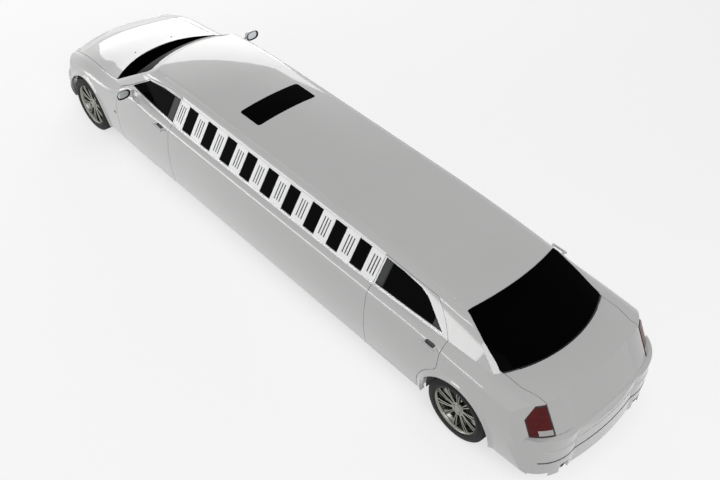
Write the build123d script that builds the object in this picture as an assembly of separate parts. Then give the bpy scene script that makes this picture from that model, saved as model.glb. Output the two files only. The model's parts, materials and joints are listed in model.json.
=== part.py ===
from build123d import *
import math
import os

# Stretched saloon car (limousine). Millimetres. X to the car's left, Y to the rear, Z up.
# Origin: on the ground, under the centre of the whole car.

# Driving dimensions
WHEELBASE = 6480
FRONT_OVERHANG = 900
REAR_OVERHANG = 1060
LENGTH = FRONT_OVERHANG + WHEELBASE + REAR_OVERHANG
NOSE_Y = -LENGTH / 2
TAIL_Y = LENGTH / 2
FRONT_AXLE_Y = NOSE_Y + FRONT_OVERHANG
REAR_AXLE_Y = TAIL_Y - REAR_OVERHANG
TRACK_HALF = 800
TYRE_R = 364
TYRE_WIDTH = 245
RIM_R = 262
BODY_HALF = 944
ROOF_Z = 1483
SILL_Z = 190
BELT_X = 838
BELT_Z = 1072
GLASS_TOP_X = 660
GLASS_TOP_Z = 1348
TUMBLEHOME = (BELT_X - GLASS_TOP_X) / (GLASS_TOP_Z - BELT_Z)
GAP = 6

# Greenhouse: straight between these, and past them it drops by DROP mm for each square metre.
HOUSE_FRONT_Y = -1100
HOUSE_REAR_Y = 1500
FRONT_DROP = 64
REAR_DROP = 33
PILLAR = 42
GLASS = 6

# Doors: hinge line, shut line and hinge axis
FRONT_DOOR_Y = (-2560, -1436)
REAR_DOOR_Y = (1925, 2900)
DOOR_BOTTOM_Z = 278
DOOR_WALL = 95
DRIP_Z = 1366
FRONT_GRIP_Y = (-1690, -1506)
REAR_GRIP_Y = (2686, 2866)
GRIP_Z = 1000

# Wheel arches
ARCH_Z = 334
ARCH_R = 440

# Lower body sections: y, half width, side top x and z, shoulder crease x and z, crown z
MID_SECTION = (BODY_HALF, 915, 960, BELT_X, BELT_Z, 1092)
FRONT_STATIONS = (
    (-1700, *MID_SECTION),
    (-1800, *MID_SECTION),
    (-2300, 941, 912, 948, 825, 1062, 1080),
    (-2650, 934, 906, 895, 766, 990, 1036),
    (-3320, 922, 898, 800, 734, 910, 962),
    (-3900, 902, 872, 690, 652, 770, 832),
    (-4260, 880, 850, 640, 604, 690, 716),
)
REAR_STATIONS = (
    (2300, *MID_SECTION),
    (2400, *MID_SECTION),
    (3160, 944, 916, 955, 798, 1060, 1086),
    (3800, 930, 902, 930, 768, 1042, 1078),
    (4260, 905, 880, 890, 745, 1018, 1060),
)


def outline(place, start, *steps):
    """A closed wire through steps: each is an end point, or a middle and an end point for an arc."""
    edges = []
    here = start
    for step in steps:
        if isinstance(step[0], tuple):
            edges.append(ThreePointArc(place(*here), place(*step[0]), place(*step[1])))
            here = step[1]
        else:
            edges.append(Line(place(*here), place(*step)))
            here = step
    return Wire(edges)


def across(y):
    """Places an (x, z) point in the upright plane across the car at y."""
    return lambda u, v: (u, y, v)


def side_prism(x0, x1, start, *steps):
    """A prism from x0 to x1 whose outline is in side view, as (y, z)."""
    face = Face(outline(lambda u, v: (x0, u, v), start, *steps))
    return Solid.extrude(face, Vector(x1 - x0, 0, 0))


def plan_prism(z0, z1, start, *steps, lean=0):
    """A prism from z0 to z1 whose outline is in plan, as (x, y), leaning lean mm of y for each mm up."""
    face = Face(outline(lambda u, v: (u, v, z0), start, *steps))
    return Solid.extrude(face, Vector(0, lean * (z1 - z0), z1 - z0))


def box(x0, x1, y0, y1, z0, z1):
    """A box between two corners."""
    return Pos((x0 + x1) / 2, (y0 + y1) / 2, (z0 + z1) / 2) * Box(x1 - x0, y1 - y0, z1 - z0)


def tube_x(x0, x1, y, z, radius):
    """A round bar along X."""
    from_start = (Align.CENTER, Align.CENTER, Align.MIN)
    return Pos(x0, y, z) * Rot(0, 90, 0) * Cylinder(radius, x1 - x0, align=from_start)


def mirrored(shape):
    """The same piece on the other side of the car."""
    return mirror(shape, about=Plane.YZ)


def flip(point):
    """The same (x, y) or (x, z) point on the other side of the car."""
    return (-point[0], point[1])


def body_wire(y, half, side_x, side_z, crease_x, crease_z, crown, inset=0):
    """Section of the lower body: flat floor, bowed side, rounded shoulder and crowned top."""
    sill = (half - 39 - inset * 0.9, SILL_Z + 72 + inset * 0.25)
    floor = (half - 94 - inset, SILL_Z + inset)
    side = (half - inset, 620)
    top_side = (side_x - inset, side_z - inset * 0.6)
    crease = (crease_x - inset * 0.9, crease_z - inset)
    dx, dz = crease[0] - top_side[0], crease[1] - top_side[1]
    bulge = (top_side[0] + dx / 2 + dz * 0.13, top_side[1] + dz / 2 - dx * 0.13)

    return outline(across(y), floor, sill, (side, top_side), (bulge, crease),
                   ((0, crown - inset), flip(crease)), (flip(bulge), flip(top_side)),
                   (flip(side), flip(sill)), flip(floor), floor)


def lower_body(inset=0):
    """The lower body as three solids: front loft, straight middle and rear loft."""
    front = Solid.make_loft([body_wire(*row, inset=inset) for row in reversed(FRONT_STATIONS)])
    start, end = FRONT_STATIONS[0][0], REAR_STATIONS[0][0]
    middle = Solid.extrude(Face(body_wire(start, *MID_SECTION, inset=inset)), Vector(0, end - start, 0))
    rear = Solid.make_loft([body_wire(*row, inset=inset) for row in REAR_STATIONS])
    return front, middle, rear


def house_wire(y, drop, inset=0):
    """Section of the greenhouse: leaning side glass, rounded rail and crowned roof."""
    foot_z = 1010 - drop
    slope = math.hypot(1, TUMBLEHOME)
    foot = (BELT_X - 3 - (1010 - BELT_Z) * TUMBLEHOME - inset * slope, foot_z)
    top = (GLASS_TOP_X - inset * slope * 0.9, GLASS_TOP_Z - drop - inset * 0.2)
    rail_mid = (620 - inset * 0.85, 1402 - drop - inset * 0.6)
    rail = (540 - inset * 0.6, 1442 - drop - inset * 0.95)

    return outline(across(y), foot, top, (rail_mid, rail), ((0, ROOF_Z - drop - inset), flip(rail)),
                   (flip(rail_mid), flip(top)), flip(foot), foot)


def house(inset=0):
    """The greenhouse as three solids, the ends dropping along parabolas."""
    def end(y0, y1, rate):
        stations = [y0 + (y1 - y0) * k / 2 for k in (0, 1, 2)]
        return Solid.make_loft([house_wire(y, rate * ((y - y0) / 1000) ** 2, inset) for y in stations])
    front = end(HOUSE_FRONT_Y, -3100, FRONT_DROP)
    rear = end(HOUSE_REAR_Y, 3700, REAR_DROP)
    face = Face(house_wire(HOUSE_FRONT_Y, 0, inset))
    middle = Solid.extrude(face, Vector(0, HOUSE_REAR_Y - HOUSE_FRONT_Y, 0))
    return front, middle, rear


def leaning_cylinder(base_y, base_z, top_y, top_z, radius, depth=0):
    """A cylinder along the slope from base to top whose crown line runs through both, less depth."""
    run, rise = top_y - base_y, top_z - base_z
    length = math.hypot(run, rise)
    along = Vector(0, run / length, rise / length)
    inward = Vector(0, rise / length, -run / length) if run > 0 else Vector(0, -rise / length, run / length)
    origin = Vector(0, base_y, base_z) + inward * radius - along * 1500
    return Solid.make_cylinder(radius - depth, 6000, Plane(origin=origin, z_dir=along))


def mass_of(*shapes):
    """One solid fused from pieces that touch."""
    result = shapes[0]
    for shape in shapes[1:]:
        result = result + shape
    return result


# Plan outlines of the nose and tail: half width and y of the centre, shoulder and corner
BUMPER_FRONT = ((0, NOSE_Y), (420, NOSE_Y + 42), (780, NOSE_Y + 215), (905, NOSE_Y + 420))
UPPER_FRONT = ((0, -4200), (420, -4158), (740, -4010), (890, -3790))
BUMPER_REAR = ((0, TAIL_Y), (420, TAIL_Y - 36), (800, TAIL_Y - 150), (925, TAIL_Y - 400))
UPPER_REAR = ((0, 4186), (420, 4150), (740, 4052), (915, 3830))
TAIL_LEAN = -0.545
NOSE_LEAN = 0.10


def end_prism(points, y_in, z0, z1, inset=0, lean=0):
    """A prism from y_in out to an end's rounded plan outline, drawn in by inset."""
    sign = 1 if points[0][1] > y_in else -1
    centre, shoulder, corner, flank = [(x - inset * (x > 0), y - sign * inset) for x, y in points]
    wide = 1100

    steps = [(flank[0] + 60, flank[1] - sign * 300), (corner, (shoulder[0] + 60, shoulder[1] - sign * 12))]
    start = (wide, y_in)
    return plan_prism(z0, z1, start, (wide, flank[1] - sign * 320), flank,
                      (corner, shoulder), (centre, flip(shoulder)), (flip(corner), flip(flank)),
                      (-wide, flank[1] - sign * 320), (-wide, y_in), start, lean=lean)


def front_skin(inset):
    """The front body, nose rounded in plan, drawn in by inset."""
    return lower_body(inset)[0] & end_prism(UPPER_FRONT, -1650, 100, 1200, inset, NOSE_LEAN)


WINDSHIELD = (-3010, 1000, -2220, 1395, 2070)
REAR_WINDOW = (3650, 1086, 3005, 1408, 2400)
HOOD_EDGE_Y = -3024
HOOD_SIDE = ((738, -2790), (730, -3078), (682, -3669), (628, -4010))
HOOD_SKIN = 34


# Rear glass in plan, half width and y: upper corner, side and lower corner, then y of both edges' middles
REAR_GLASS_CORNERS = ((598, 2925), (660, 3200), (700, 3478))
REAR_GLASS_EDGES = (3003, 3652)
GLASS_GAP = 3


def rear_glass_prism(grow=0):
    """Plan prism of the rear glass: bowed upper and lower edges and bent sides."""
    upper, side, lower = [(x + grow, y) for x, y in REAR_GLASS_CORNERS]
    upper = (upper[0], upper[1] - grow)
    lower = (lower[0], lower[1] + grow)

    above = (0, REAR_GLASS_EDGES[0] - grow)
    below = (0, REAR_GLASS_EDGES[1] + grow)
    return plan_prism(1000, 1500, upper, (above, flip(upper)), flip(side), flip(lower),
                      (below, lower), side, upper)


def hood_outline(grow, z0, z1):
    """Plan prism of the hood: arc under the glass, slightly bowed sides, arc over the grille."""
    right = [(x + grow, y) for x, y in HOOD_SIDE]
    right[0] = (right[0][0], right[0][1] + grow)
    right[3] = (right[3][0], right[3][1] - grow)
    left = [(-x, y) for x, y in right]
    back = (0, HOOD_EDGE_Y + grow)
    nose = (0, -4112 - grow)
    return plan_prism(z0, z1, right[0], right[1], right[2], right[3], (nose, left[3]),
                      left[2], left[1], left[0], (back, right[0]))


# Upper edges of the door frames in side view, y and z, and the rear door's edge round the arch
FRONT_DOOR_TOP = ((-1440, DRIP_Z - 10), (-1800, 1338), (-2070, 1292), (-2400, 1086), (-2560, 1000))
REAR_DOOR_TOP = ((1930, DRIP_Z - 12), (2300, 1338), (2720, 1300))
REAR_DOOR_ARCH_R = 505


def revolved_zone(hinge_y, profile, grow=0):
    """Everything within a door's swing: profile of (radius, z) turned about the upright hinge axis."""
    steps = [(r + grow, z) for r, z in profile]
    low, high = profile[0][1], profile[-1][1]
    face = Face(outline(lambda u, v: (BODY_HALF + u, hinge_y, v), (0, low), *steps, (0, high), (0, low)))
    return revolve(face, axis=Axis((BODY_HALF, hinge_y, 0), (0, 0, 1)))


def swing_radius(reach, x):
    """Distance from the hinge axis of a point on the shut line, reach behind the hinge and at x."""
    return math.hypot(reach, BODY_HALF - x)


def front_door_zone(grow=0):
    """The front door's space: a swing cylinder, cut by its hinge line, sill line and sloping top."""
    hinge_y, rear_y = FRONT_DOOR_Y
    reach = rear_y - hinge_y
    rows = ((915, 190), (915, 960), (BELT_X, BELT_Z), (GLASS_TOP_X, GLASS_TOP_Z), (GLASS_TOP_X, 1500))
    zone = revolved_zone(hinge_y, [(swing_radius(reach, x), z) for x, z in rows], grow)
    y0, low = hinge_y - grow, DOOR_BOTTOM_Z - grow
    top = [(y, z + grow) for y, z in FRONT_DOOR_TOP]
    return zone & side_prism(500, 1100, (y0, low), (-1300, low), (-1300, top[0][1]), top[0],
                             (top[1], top[2]), top[3], (y0, top[4][1]), (y0, low))


def rear_door_zone(grow=0):
    """The rear door's space: a swing surface that follows the rear glass, shut line and wheel arch."""
    hinge_y, rear_y = REAR_DOOR_Y
    reach = rear_y - hinge_y
    axle = REAR_AXLE_Y - hinge_y
    arch = REAR_DOOR_ARCH_R
    rise = 745 - ARCH_Z
    foot = (axle - math.sqrt(arch ** 2 - (ARCH_Z - 190) ** 2), 190)
    arch_top = (axle - math.sqrt(arch ** 2 - rise ** 2), 745)
    profile = [foot, ((axle - arch, ARCH_Z), arch_top), (reach, 800), (swing_radius(reach, 915), 960),
               (swing_radius(reach, BELT_X), BELT_Z), (swing_radius(865, 742), 1190),
               (swing_radius(745, 684), 1285), (swing_radius(620, 655), DRIP_Z + 30)]
    wide = [((a[0] + grow, a[1]), (b[0] + grow, b[1])) if isinstance(a, tuple) else (a + grow, b)
            for a, b in profile]
    start = (0, 190)
    face = Face(outline(lambda u, v: (BODY_HALF + u, hinge_y, v), start, *wide, (0, DRIP_Z + 30), start))
    zone = revolve(face, axis=Axis((BODY_HALF, hinge_y, 0), (0, 0, 1)))
    low = DOOR_BOTTOM_Z - grow
    y0 = hinge_y - grow
    top = [(y, z + grow) for y, z in REAR_DOOR_TOP]
    return zone & side_prism(500, 1100, (y0, low), (3000, low), (3000, top[2][1]), (top[1], top[0]),
                             (y0, top[0][1]), (y0, low))


# Windows in side view, y and z
GLASS_LOW_Z = 1094
FRONT_GLASS = ((-1450, GLASS_LOW_Z), (-1450, 1338), (-1800, 1316), (-2090, 1272), (-2108, 1258),
               (-2362, 1100), (-2362, GLASS_LOW_Z))
REAR_GLASS = ((1942, GLASS_LOW_Z), (1942, 1338), (2180, 1330), (2420, 1306), (2530, 1270), (2600, 1226),
              (2812, GLASS_LOW_Z))
SIDE_WINDOWS = {"count": 9, "first_y": -1267, "pitch": 355, "width": 168, "top_z": 1338}

# Sunroof: front and rear y, half width and corner radius
SUNROOF = (-684, -343, 405, 36)
WALL_Y = (FRONT_DOOR_Y[1] + GAP, REAR_DOOR_Y[0] - GAP)
ROOF_SPLIT_Y = 2960
ROOF_HEADER_X = 520

# Louvre groups: slits in a group, their spacing, width and depth, and their lower and upper z
LOUVRE_CENTRES = (-1358, *(-1005.5 + 355 * k for k in range(8)), 1841)
LOUVRE_SLITS = (-38, 0, 38)
LOUVRE_WIDTH = 14
LOUVRE_DEPTH = 14
LOUVRE_Z = (1131, 1301)


def side_window(index, grow=0):
    """One small side window's cut-out, as a prism through the left wall."""
    row = SIDE_WINDOWS
    y = row["first_y"] + index * row["pitch"]
    y0, y1 = y - grow, y + row["width"] + grow
    return box(500, 1000, y0, y1, GLASS_LOW_Z - grow, row["top_z"] + grow)


def louvres():
    """The slits between the small windows, sunk to one depth in the leaning left wall."""
    low, high = LOUVRE_Z
    sunk = LOUVRE_DEPTH * math.hypot(1, TUMBLEHOME)
    floor = [BELT_X - 3 - (z - BELT_Z) * TUMBLEHOME - sunk for z in LOUVRE_Z]
    made = []
    for centre in LOUVRE_CENTRES:
        for offset in LOUVRE_SLITS:
            y = centre + offset - LOUVRE_WIDTH / 2
            foot = (floor[0], low)
            section = outline(across(y), foot, (900, low), (900, high), (floor[1], high), foot)
            made.append(Solid.extrude(Face(section), Vector(0, LOUVRE_WIDTH, 0)))
    return made


def wheel_space(y, radius=ARCH_R):
    """The round hole of a wheel arch on both sides."""
    return tube_x(430, 1200, y, ARCH_Z, radius) + tube_x(-1200, -430, y, ARCH_Z, radius)


def sill_strip(shell):
    """The sill below the doors, from the front arch to the rear arch."""
    return shell & box(745, 1000, FRONT_AXLE_Y + 462, REAR_AXLE_Y - 510, 100, DOOR_BOTTOM_Z - GAP)


def roof_zone():
    """All of the greenhouse above the drip line, with the screen pillars."""
    def drip(y, start, rate):
        return (y, GLASS_TOP_Z + 5 - rate * ((y - start) / 1000) ** 2)
    front = [drip(y, HOUSE_FRONT_Y, FRONT_DROP) for y in (-1600, -2070)]
    rear = [drip(y, HOUSE_REAR_Y, REAR_DROP) for y in (2200, ROOF_SPLIT_Y)]
    zone = side_prism(-1000, 1000, (-3200, 500), (-2070, 500), front[1],
                      (front[0], (HOUSE_FRONT_Y, GLASS_TOP_Z + 5)), (HOUSE_REAR_Y, GLASS_TOP_Z + 5),
                      (rear[0], rear[1]), (ROOF_SPLIT_Y, 1700), (-3200, 1700), (-3200, 500))
    return zone + box(-ROOF_HEADER_X, ROOF_HEADER_X, ROOF_SPLIT_Y - 40, ROOF_SPLIT_Y + 160, 1250, 1700)


# Hidden structure, y and z in side view
FIREWALL_Y = (-2640, -2600)
BULKHEAD_Y = (3010, 3040)
SHELF_EDGE = (3484, 3656)
FLOOR_Z = (236, 262)
SILL_IN_X = 745
BUMPER_TOP = 600
NOSE_SPLIT_Z = 545
LAMP_TOP_Z = 690
GRILLE_TOP_Z = 698
GRILLE_HALF = 400
GRILLE_FRAME = 26
GRILLE_BARS = 22
BUMPER_SHELF = 738
BUMPER_STEP_Y = 3950
LAMP_IN_X = 661
LID_SIDE_X = 690
SPLIT_Z = DOOR_BOTTOM_Z - GAP


class Shells:
    """The body's outer solids and their hollows, from which the panels are cut."""

    def __init__(self):
        self.outer = mass_of(*lower_body())
        self.cabin = mass_of(*lower_body(DOOR_WALL))
        front, middle, rear = house()
        front = front & leaning_cylinder(*WINDSHIELD)
        rear = rear & leaning_cylinder(*REAR_WINDOW)
        self.house_outer = mass_of(front, middle, rear)
        self.house_inner = mass_of(*house(PILLAR))
        self.wall = self.outer - self.cabin
        self.frame = (self.house_outer - self.house_inner) - self.outer
        self.pane = mass_of(*house(4)) - mass_of(*house(4 + GLASS))
        under_glass = house(GLASS)[2] & leaning_cylinder(*REAR_WINDOW, depth=GLASS)
        self.rear_glass = (rear - under_glass) & rear_glass_prism()
        self.frame = self.frame - ((rear - under_glass) & rear_glass_prism(GLASS_GAP))
        self.nose = front_skin(0)
        self.nose_inner = front_skin(40)
        self.nose_skin = self.nose - self.nose_inner
        self.tail = rear_skin(0)
        self.tail_inner = rear_skin(40)
        self.tail_skin = self.tail - self.tail_inner
        self.front_zone = front_door_zone(GAP)
        self.rear_zone = rear_door_zone(GAP)


def rear_skin(inset):
    """The rear body, tail rounded in plan and leaning, drawn in by inset."""
    start = 2300
    points = [(x, y - TAIL_LEAN * 650) for x, y in UPPER_REAR]
    return lower_body(inset)[2] & end_prism(points, start - 50, 100, 1200, inset, TAIL_LEAN)


def window_prism(points):
    """A door window's cut-out through the left side."""
    return side_prism(500, 1000, points[0], *points[1:], points[0])


def make_door(shells, zone, window, lip):
    """A door: hollow lower box, slim window frame and grip, with its pane apart."""
    low = (shells.wall & zone & box(SILL_IN_X, 1100, -3000, 3000, 200, 1400)) - lip
    frame = shells.frame & zone
    cut = window_prism(window)
    door = (low + frame) - cut
    pane = shells.pane & cut & zone
    return door, pane


def door_handle(y0, y1, z):
    """A pull handle that stands off the door on two feet."""
    bar = box(944, 962, y0, y1, z - 11, z + 11)
    bar = fillet(bar.edges(), 5)
    feet = [box(900, 950, y, y + 26, z - 8, z + 8) for y in (y0 + 6, y1 - 32)]
    return mass_of(bar, *feet)


def body_side(shells):
    """The stretched side: sill, pillars and the wall with its row of small windows."""
    y0, y1 = WALL_Y[0] - 60, WALL_Y[1] + 5
    wall = shells.wall & box(SILL_IN_X, 1000, y0, y1, 190, 1100)
    frame = (shells.frame & box(500, 1000, y0, y1, 900, 1400)) - roof_zone()
    side = mass_of(wall, frame) - shells.front_zone - shells.rear_zone
    side = side - box(700, 806, -3000, 3000, SPLIT_Z, 292)
    for index in range(SIDE_WINDOWS["count"]):
        side = side - side_window(index)
    side = side.cut(*louvres())
    post = (shells.nose_inner & box(SILL_IN_X, 960, -2660, -2566, SPLIT_Z - 5, 930))
    return mass_of(side, sill_strip(shells.wall), post)


def side_panes(shells):
    """The nine small panes of one side, which touch only the wall."""
    panes = [shells.pane & side_window(index) for index in range(SIDE_WINDOWS["count"])]
    return Compound(children=[solid for pane in panes for solid in pane.solids()])


def make_roof(shells):
    """Roof panel with its rails and screen pillars, open for the sunroof."""
    roof = (shells.frame & roof_zone()) - sunroof_hole()
    for zone in (shells.front_zone, shells.rear_zone):
        roof = roof - zone - mirrored(zone)
    return max(roof.solids(), key=lambda solid: solid.volume)


def sunroof_hole():
    """The rounded cut-out of the sunroof."""
    y0, y1, half, corner = SUNROOF
    block = box(-half, half, y0, y1, 1300, 1600)
    return fillet(block.edges().filter_by(Axis.Z), corner)


def windshield(shells):
    """The curved pane that fills the opening between the front pillars, above the body."""
    layer = leaning_cylinder(*WINDSHIELD) - leaning_cylinder(*WINDSHIELD, depth=GLASS)
    half = shells.house_inner & box(-900, 900, -3200, -1000, 800, 1600)
    pane = (half & layer) - shells.outer
    return max(pane.solids(), key=lambda solid: solid.volume)


def rear_window(shells):
    """The rear glass, set flush in the pillars and header, its lower edge just over the shelf."""
    pane = shells.rear_glass - lower_body(-GLASS_GAP)[2]
    return max(pane.solids(), key=lambda solid: solid.volume)


def make_hood(shells):
    """Hood skin: the top of the nose between the fenders."""
    skin = shells.nose - Pos(0, 0, -HOOD_SKIN) * shells.nose
    hood = skin & hood_outline(0, 700, 1200)
    return max(hood.solids(), key=lambda solid: solid.volume)


def headlamp_zone(grow=0):
    """Corner lamp's space at the nose, left side."""
    points = ((420 - grow, -4300), (905, -4300), (905, -3810 + grow), (800, -3850 + grow),
              (420 - grow, -4010))
    return plan_prism(NOSE_SPLIT_Z, LAMP_TOP_Z + grow, *points, points[0])


# Cowl in plan: half width, and y of its front edge at the sides and in the middle
COWL_HALF = 744
COWL_FRONT = (-2784, -3018)


def cowl_plan(back_y):
    """Plan prism behind the hood's rear edge, back to a straight line at back_y."""
    side, middle = COWL_FRONT
    start = (-COWL_HALF, back_y)
    return plan_prism(500, 1200, start, (-COWL_HALF, side), ((0, middle), (COWL_HALF, side)),
                      (COWL_HALF, back_y), start)


def fender(shells):
    """Left front fender round the wheel arch."""
    y1 = FRONT_DOOR_Y[0] - GAP
    panel = shells.nose_skin & box(560, 1000, -4300, y1, NOSE_SPLIT_Z, 1200)
    low = shells.nose_skin & box(560, 1000, FRONT_AXLE_Y, y1, SPLIT_Z, NOSE_SPLIT_Z)
    panel = mass_of(panel, low) - wheel_space(FRONT_AXLE_Y) - hood_outline(GAP, 500, 1200)
    panel = panel - cowl_plan(-2400) - headlamp_zone(1)
    return max(panel.solids(), key=lambda solid: solid.volume)


def cowl(shells):
    """The panel between the hood's rear edge and the firewall, under the foot of the windshield."""
    area = cowl_plan(FIREWALL_Y[1])
    return shells.nose_skin & area & box(-COWL_HALF, COWL_HALF, -3100, FIREWALL_Y[1], 800, 1200)


def bumper_space(points, y_in, inset):
    """The rounded block that a bumper's outer face follows."""
    return end_prism(points, y_in, 150, BUMPER_TOP + 400, inset)


def front_bumper():
    """Front bumper cover: a curved wall from under the lamps to the arches."""
    body = lower_body(0)[0]
    inner = lower_body(45)[0]
    outer = body & bumper_space(BUMPER_FRONT, -3400, 0)
    hollow = inner & bumper_space(BUMPER_FRONT, -3400, 60)
    cover = (outer - hollow) & box(-1000, 1000, -4300, FRONT_AXLE_Y - 380, SILL_Z, NOSE_SPLIT_Z)
    intake = box(-420, 420, -4300, -4000, 262, 372)
    below = box(-840, 840, -4110, -3000, 100, 240)
    return cover - wheel_space(FRONT_AXLE_Y) - intake - below


def headlamp(shells):
    """Left headlamp body behind its clear face."""
    inner = front_skin(110)
    lamp = (shells.nose - inner) & headlamp_zone(0)
    return max(lamp.solids(), key=lambda solid: solid.volume)


def grille():
    """Upright grille: a frame with thin upright bars, standing a little proud of the nose."""
    half, low, high = GRILLE_HALF, NOSE_SPLIT_Z, GRILLE_TOP_Z
    face = end_prism([(x, y - 22) for x, y in UPPER_FRONT], -1650, 100, 1200, 0, NOSE_LEAN)
    back = end_prism(UPPER_FRONT, -1650, 100, 1200, 50, NOSE_LEAN)
    body = (face - back) & box(-half, half, -4300, -3900, low, high)
    bars = []
    inner = half - GRILLE_FRAME
    opening = (face & box(-inner, inner, -4300, -3900, low + 24, high - 24))
    for index in range(GRILLE_BARS):
        x = -inner + (index + 0.5) * 2 * inner / GRILLE_BARS
        bars.append((face - back) & box(x - 6, x + 6, -4300, -3900, low + 20, high - 20))
    return mass_of(body - opening, *bars)


def lid_outline(grow, z0, z1):
    """Plan prism of the trunk lid: arc under the rear window, straight sides and past the tail."""
    side, rear = LID_SIDE_X + grow, LAMP_IN_X - GAP + grow
    corner, middle = SHELF_EDGE[0] + 10 - grow, SHELF_EDGE[1] + 10 - grow
    return plan_prism(z0, z1, (side, corner), (side, 3690), (rear, 3840), (rear, 4400), (-rear, 4400),
                      (-rear, 3840), (-side, 3690), (-side, corner), ((0, middle), (side, corner)))


def trunk_lid(shells):
    """Trunk lid: deck and rear face in one bent panel."""
    low = BUMPER_SHELF + GAP
    skin = shells.tail - Pos(0, -40, -38) * shells.tail
    lid = skin & lid_outline(0, low, 1200) & box(-900, 900, 3300, 4300, low, 1200)
    return max(lid.solids(), key=lambda solid: solid.volume)


def tail_lamp_zone(grow=0):
    """Corner lamp's space at the tail in side view, left side."""
    low = BUMPER_SHELF
    points = ((3905 - grow, 1100), (3872 - grow, 900), (3955 - grow, low), (4300, low), (4300, 1100))
    prism = side_prism(LAMP_IN_X, 1000, points[0], *points[1:], points[0])
    return prism & box(LAMP_IN_X, 1000, 3700, 4300, 600, 1034 + grow)


def tail_lamp(shells):
    """Left tail lamp body, wrapped round the corner."""
    lamp = (shells.tail - rear_skin(75)) & tail_lamp_zone(0)
    return max(lamp.solids(), key=lambda solid: solid.volume)


def quarter_panel(shells):
    """Left rear quarter: panel round the arch, shoulder, and the pillar beside the rear window."""
    y0 = REAR_DOOR_Y[1] - 240
    panel = shells.tail_skin & box(560, 1000, y0, 4300, BUMPER_TOP, 1200)
    low = shells.tail_skin & box(560, 1000, REAR_AXLE_Y - 520, REAR_AXLE_Y, SPLIT_Z, BUMPER_TOP)
    panel = mass_of(panel, low) - wheel_space(REAR_AXLE_Y) - lid_outline(GAP, 500, 1200) - shells.rear_zone
    corner, middle = SHELF_EDGE
    under_glass = plan_prism(500, 1200, (0, 2000), (700, 2000), (700, corner), ((0, middle), (-700, corner)),
                             (-700, 2000), (0, 2000))
    panel = panel - box(500, 1000, BUMPER_STEP_Y, 4400, 500, BUMPER_SHELF)
    panel = panel - under_glass - (tail_lamp_zone(0) & (shells.tail - rear_skin(75)))
    panel = max(panel.solids(), key=lambda solid: solid.volume)
    pillar = (shells.frame & box(400, 1000, 2000, 3800, 900, 1500)) - roof_zone() - shells.rear_zone
    pillar = pillar & box(400, 1000, 2500, 3800, 900, 1500)
    pillar = max(pillar.solids(), key=lambda solid: solid.volume)
    return mass_of(panel, pillar)


def rear_bumper():
    """Rear bumper cover: a curved wall with a sloping top shelf."""
    body = lower_body(0)[2]
    inner = lower_body(45)[2]
    outer = body & bumper_space(BUMPER_REAR, 3300, 0)
    hollow = inner & bumper_space(BUMPER_REAR, 3300, 60)
    top = side_prism(-1000, 1000, (3400, SILL_Z), (4300, SILL_Z), (4300, BUMPER_TOP - 30),
                     (4212, 622), (4192, 700), (4150, BUMPER_SHELF), (3400, BUMPER_SHELF), (3400, SILL_Z))
    cover = (outer - hollow) & top & box(-1000, 1000, REAR_AXLE_Y + 380, 4300, SILL_Z, BUMPER_SHELF)
    side_low = box(560, 1000, 3300, BUMPER_STEP_Y, BUMPER_TOP, 800)
    below = box(-850, 850, 3300, 4140, 100, 240)
    tips = box(484, 596, 3950, 4300, 180, 300)
    cover = cover - wheel_space(REAR_AXLE_Y) - side_low - mirrored(side_low) - below
    return cover - tips - mirrored(tips)


def rear_shelf(shells):
    """The shelf under the rear window, from the cabin to the trunk lid."""
    corner, middle = SHELF_EDGE
    area = plan_prism(500, 1200, (-700, BULKHEAD_Y[0]), (700, BULKHEAD_Y[0]), (700, corner),
                      ((0, middle), (-700, corner)), (-700, BULKHEAD_Y[0]))
    return shells.tail_skin & area & box(-700, 700, 3000, 3700, 900, 1200)


def floor_pan(shells):
    """The platform: floor, firewall, rails, aprons over the front wheels and the trunk floor."""
    wide = SILL_IN_X
    floor = box(-wide, wide, FIREWALL_Y[0], 2650, *FLOOR_Z)
    kick = box(-425, 425, 2624, 2650, FLOOR_Z[0], 430)
    over_axle = box(-425, 425, 2650, 3626, 404, 430)
    drop = box(-425, 425, 3600, 3626, 330, 430)
    trunk = box(-640, 640, 3612, 4060, 330, 352)
    firewall = shells.nose_inner & box(-wide, wide, *FIREWALL_Y, FLOOR_Z[0], 1100)
    bulkhead = shells.tail_inner & box(-425, 425, *BULKHEAD_Y, 430, 1100)
    rails = [box(x - 35, x + 35, -4050, -2600, 380, 470) for x in (-365, 365)]
    front_bar = box(-400, 400, -3985, -3945, 380, 700)
    front_bar = front_bar - box(-310, 310, -4000, -3900, 440, 655)
    apron = shells.nose_inner & side_prism(640, 744, (-3790, 715), (-3620, 762), (-3320, 795), (-2600, 830),
                                           (-2600, 1000), (-3790, 900), (-3790, 715))
    pan = mass_of(floor, kick, over_axle, drop, trunk, firewall, bulkhead, *rails, front_bar)
    return mass_of(pan, apron, mirrored(apron))


def liners():
    """Wheel arch liners: half tubes over each wheel."""
    made = []
    for y in (FRONT_AXLE_Y, REAR_AXLE_Y):
        ring = tube_x(470, 850, y, ARCH_Z, ARCH_R - 2) - tube_x(460, 900, y, ARCH_Z, ARCH_R - 10)
        half = ring & box(400, 900, y - 500, y + 500, ARCH_Z - 60, 900)
        made += [half, mirrored(half)]
    return made


def tyre(x, y):
    """A tyre with rounded shoulders and an open middle, centred at x."""
    half = TYRE_WIDTH / 2
    rows = ((RIM_R, -half + 18), (300, -half), (345, -half + 8), (TYRE_R, -half + 34))
    right = [(r, -u) for r, u in reversed(rows)]
    points = list(rows) + right

    def place(u, v):
        return (x + v, y, TYRE_R + u)

    face = Face(outline(place, points[0], (points[1], points[2]), points[3], points[4],
                        points[5], (points[6], points[7]), points[0]))
    return revolve(face, axis=Axis((x, y, TYRE_R), (1, 0, 0)))


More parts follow.
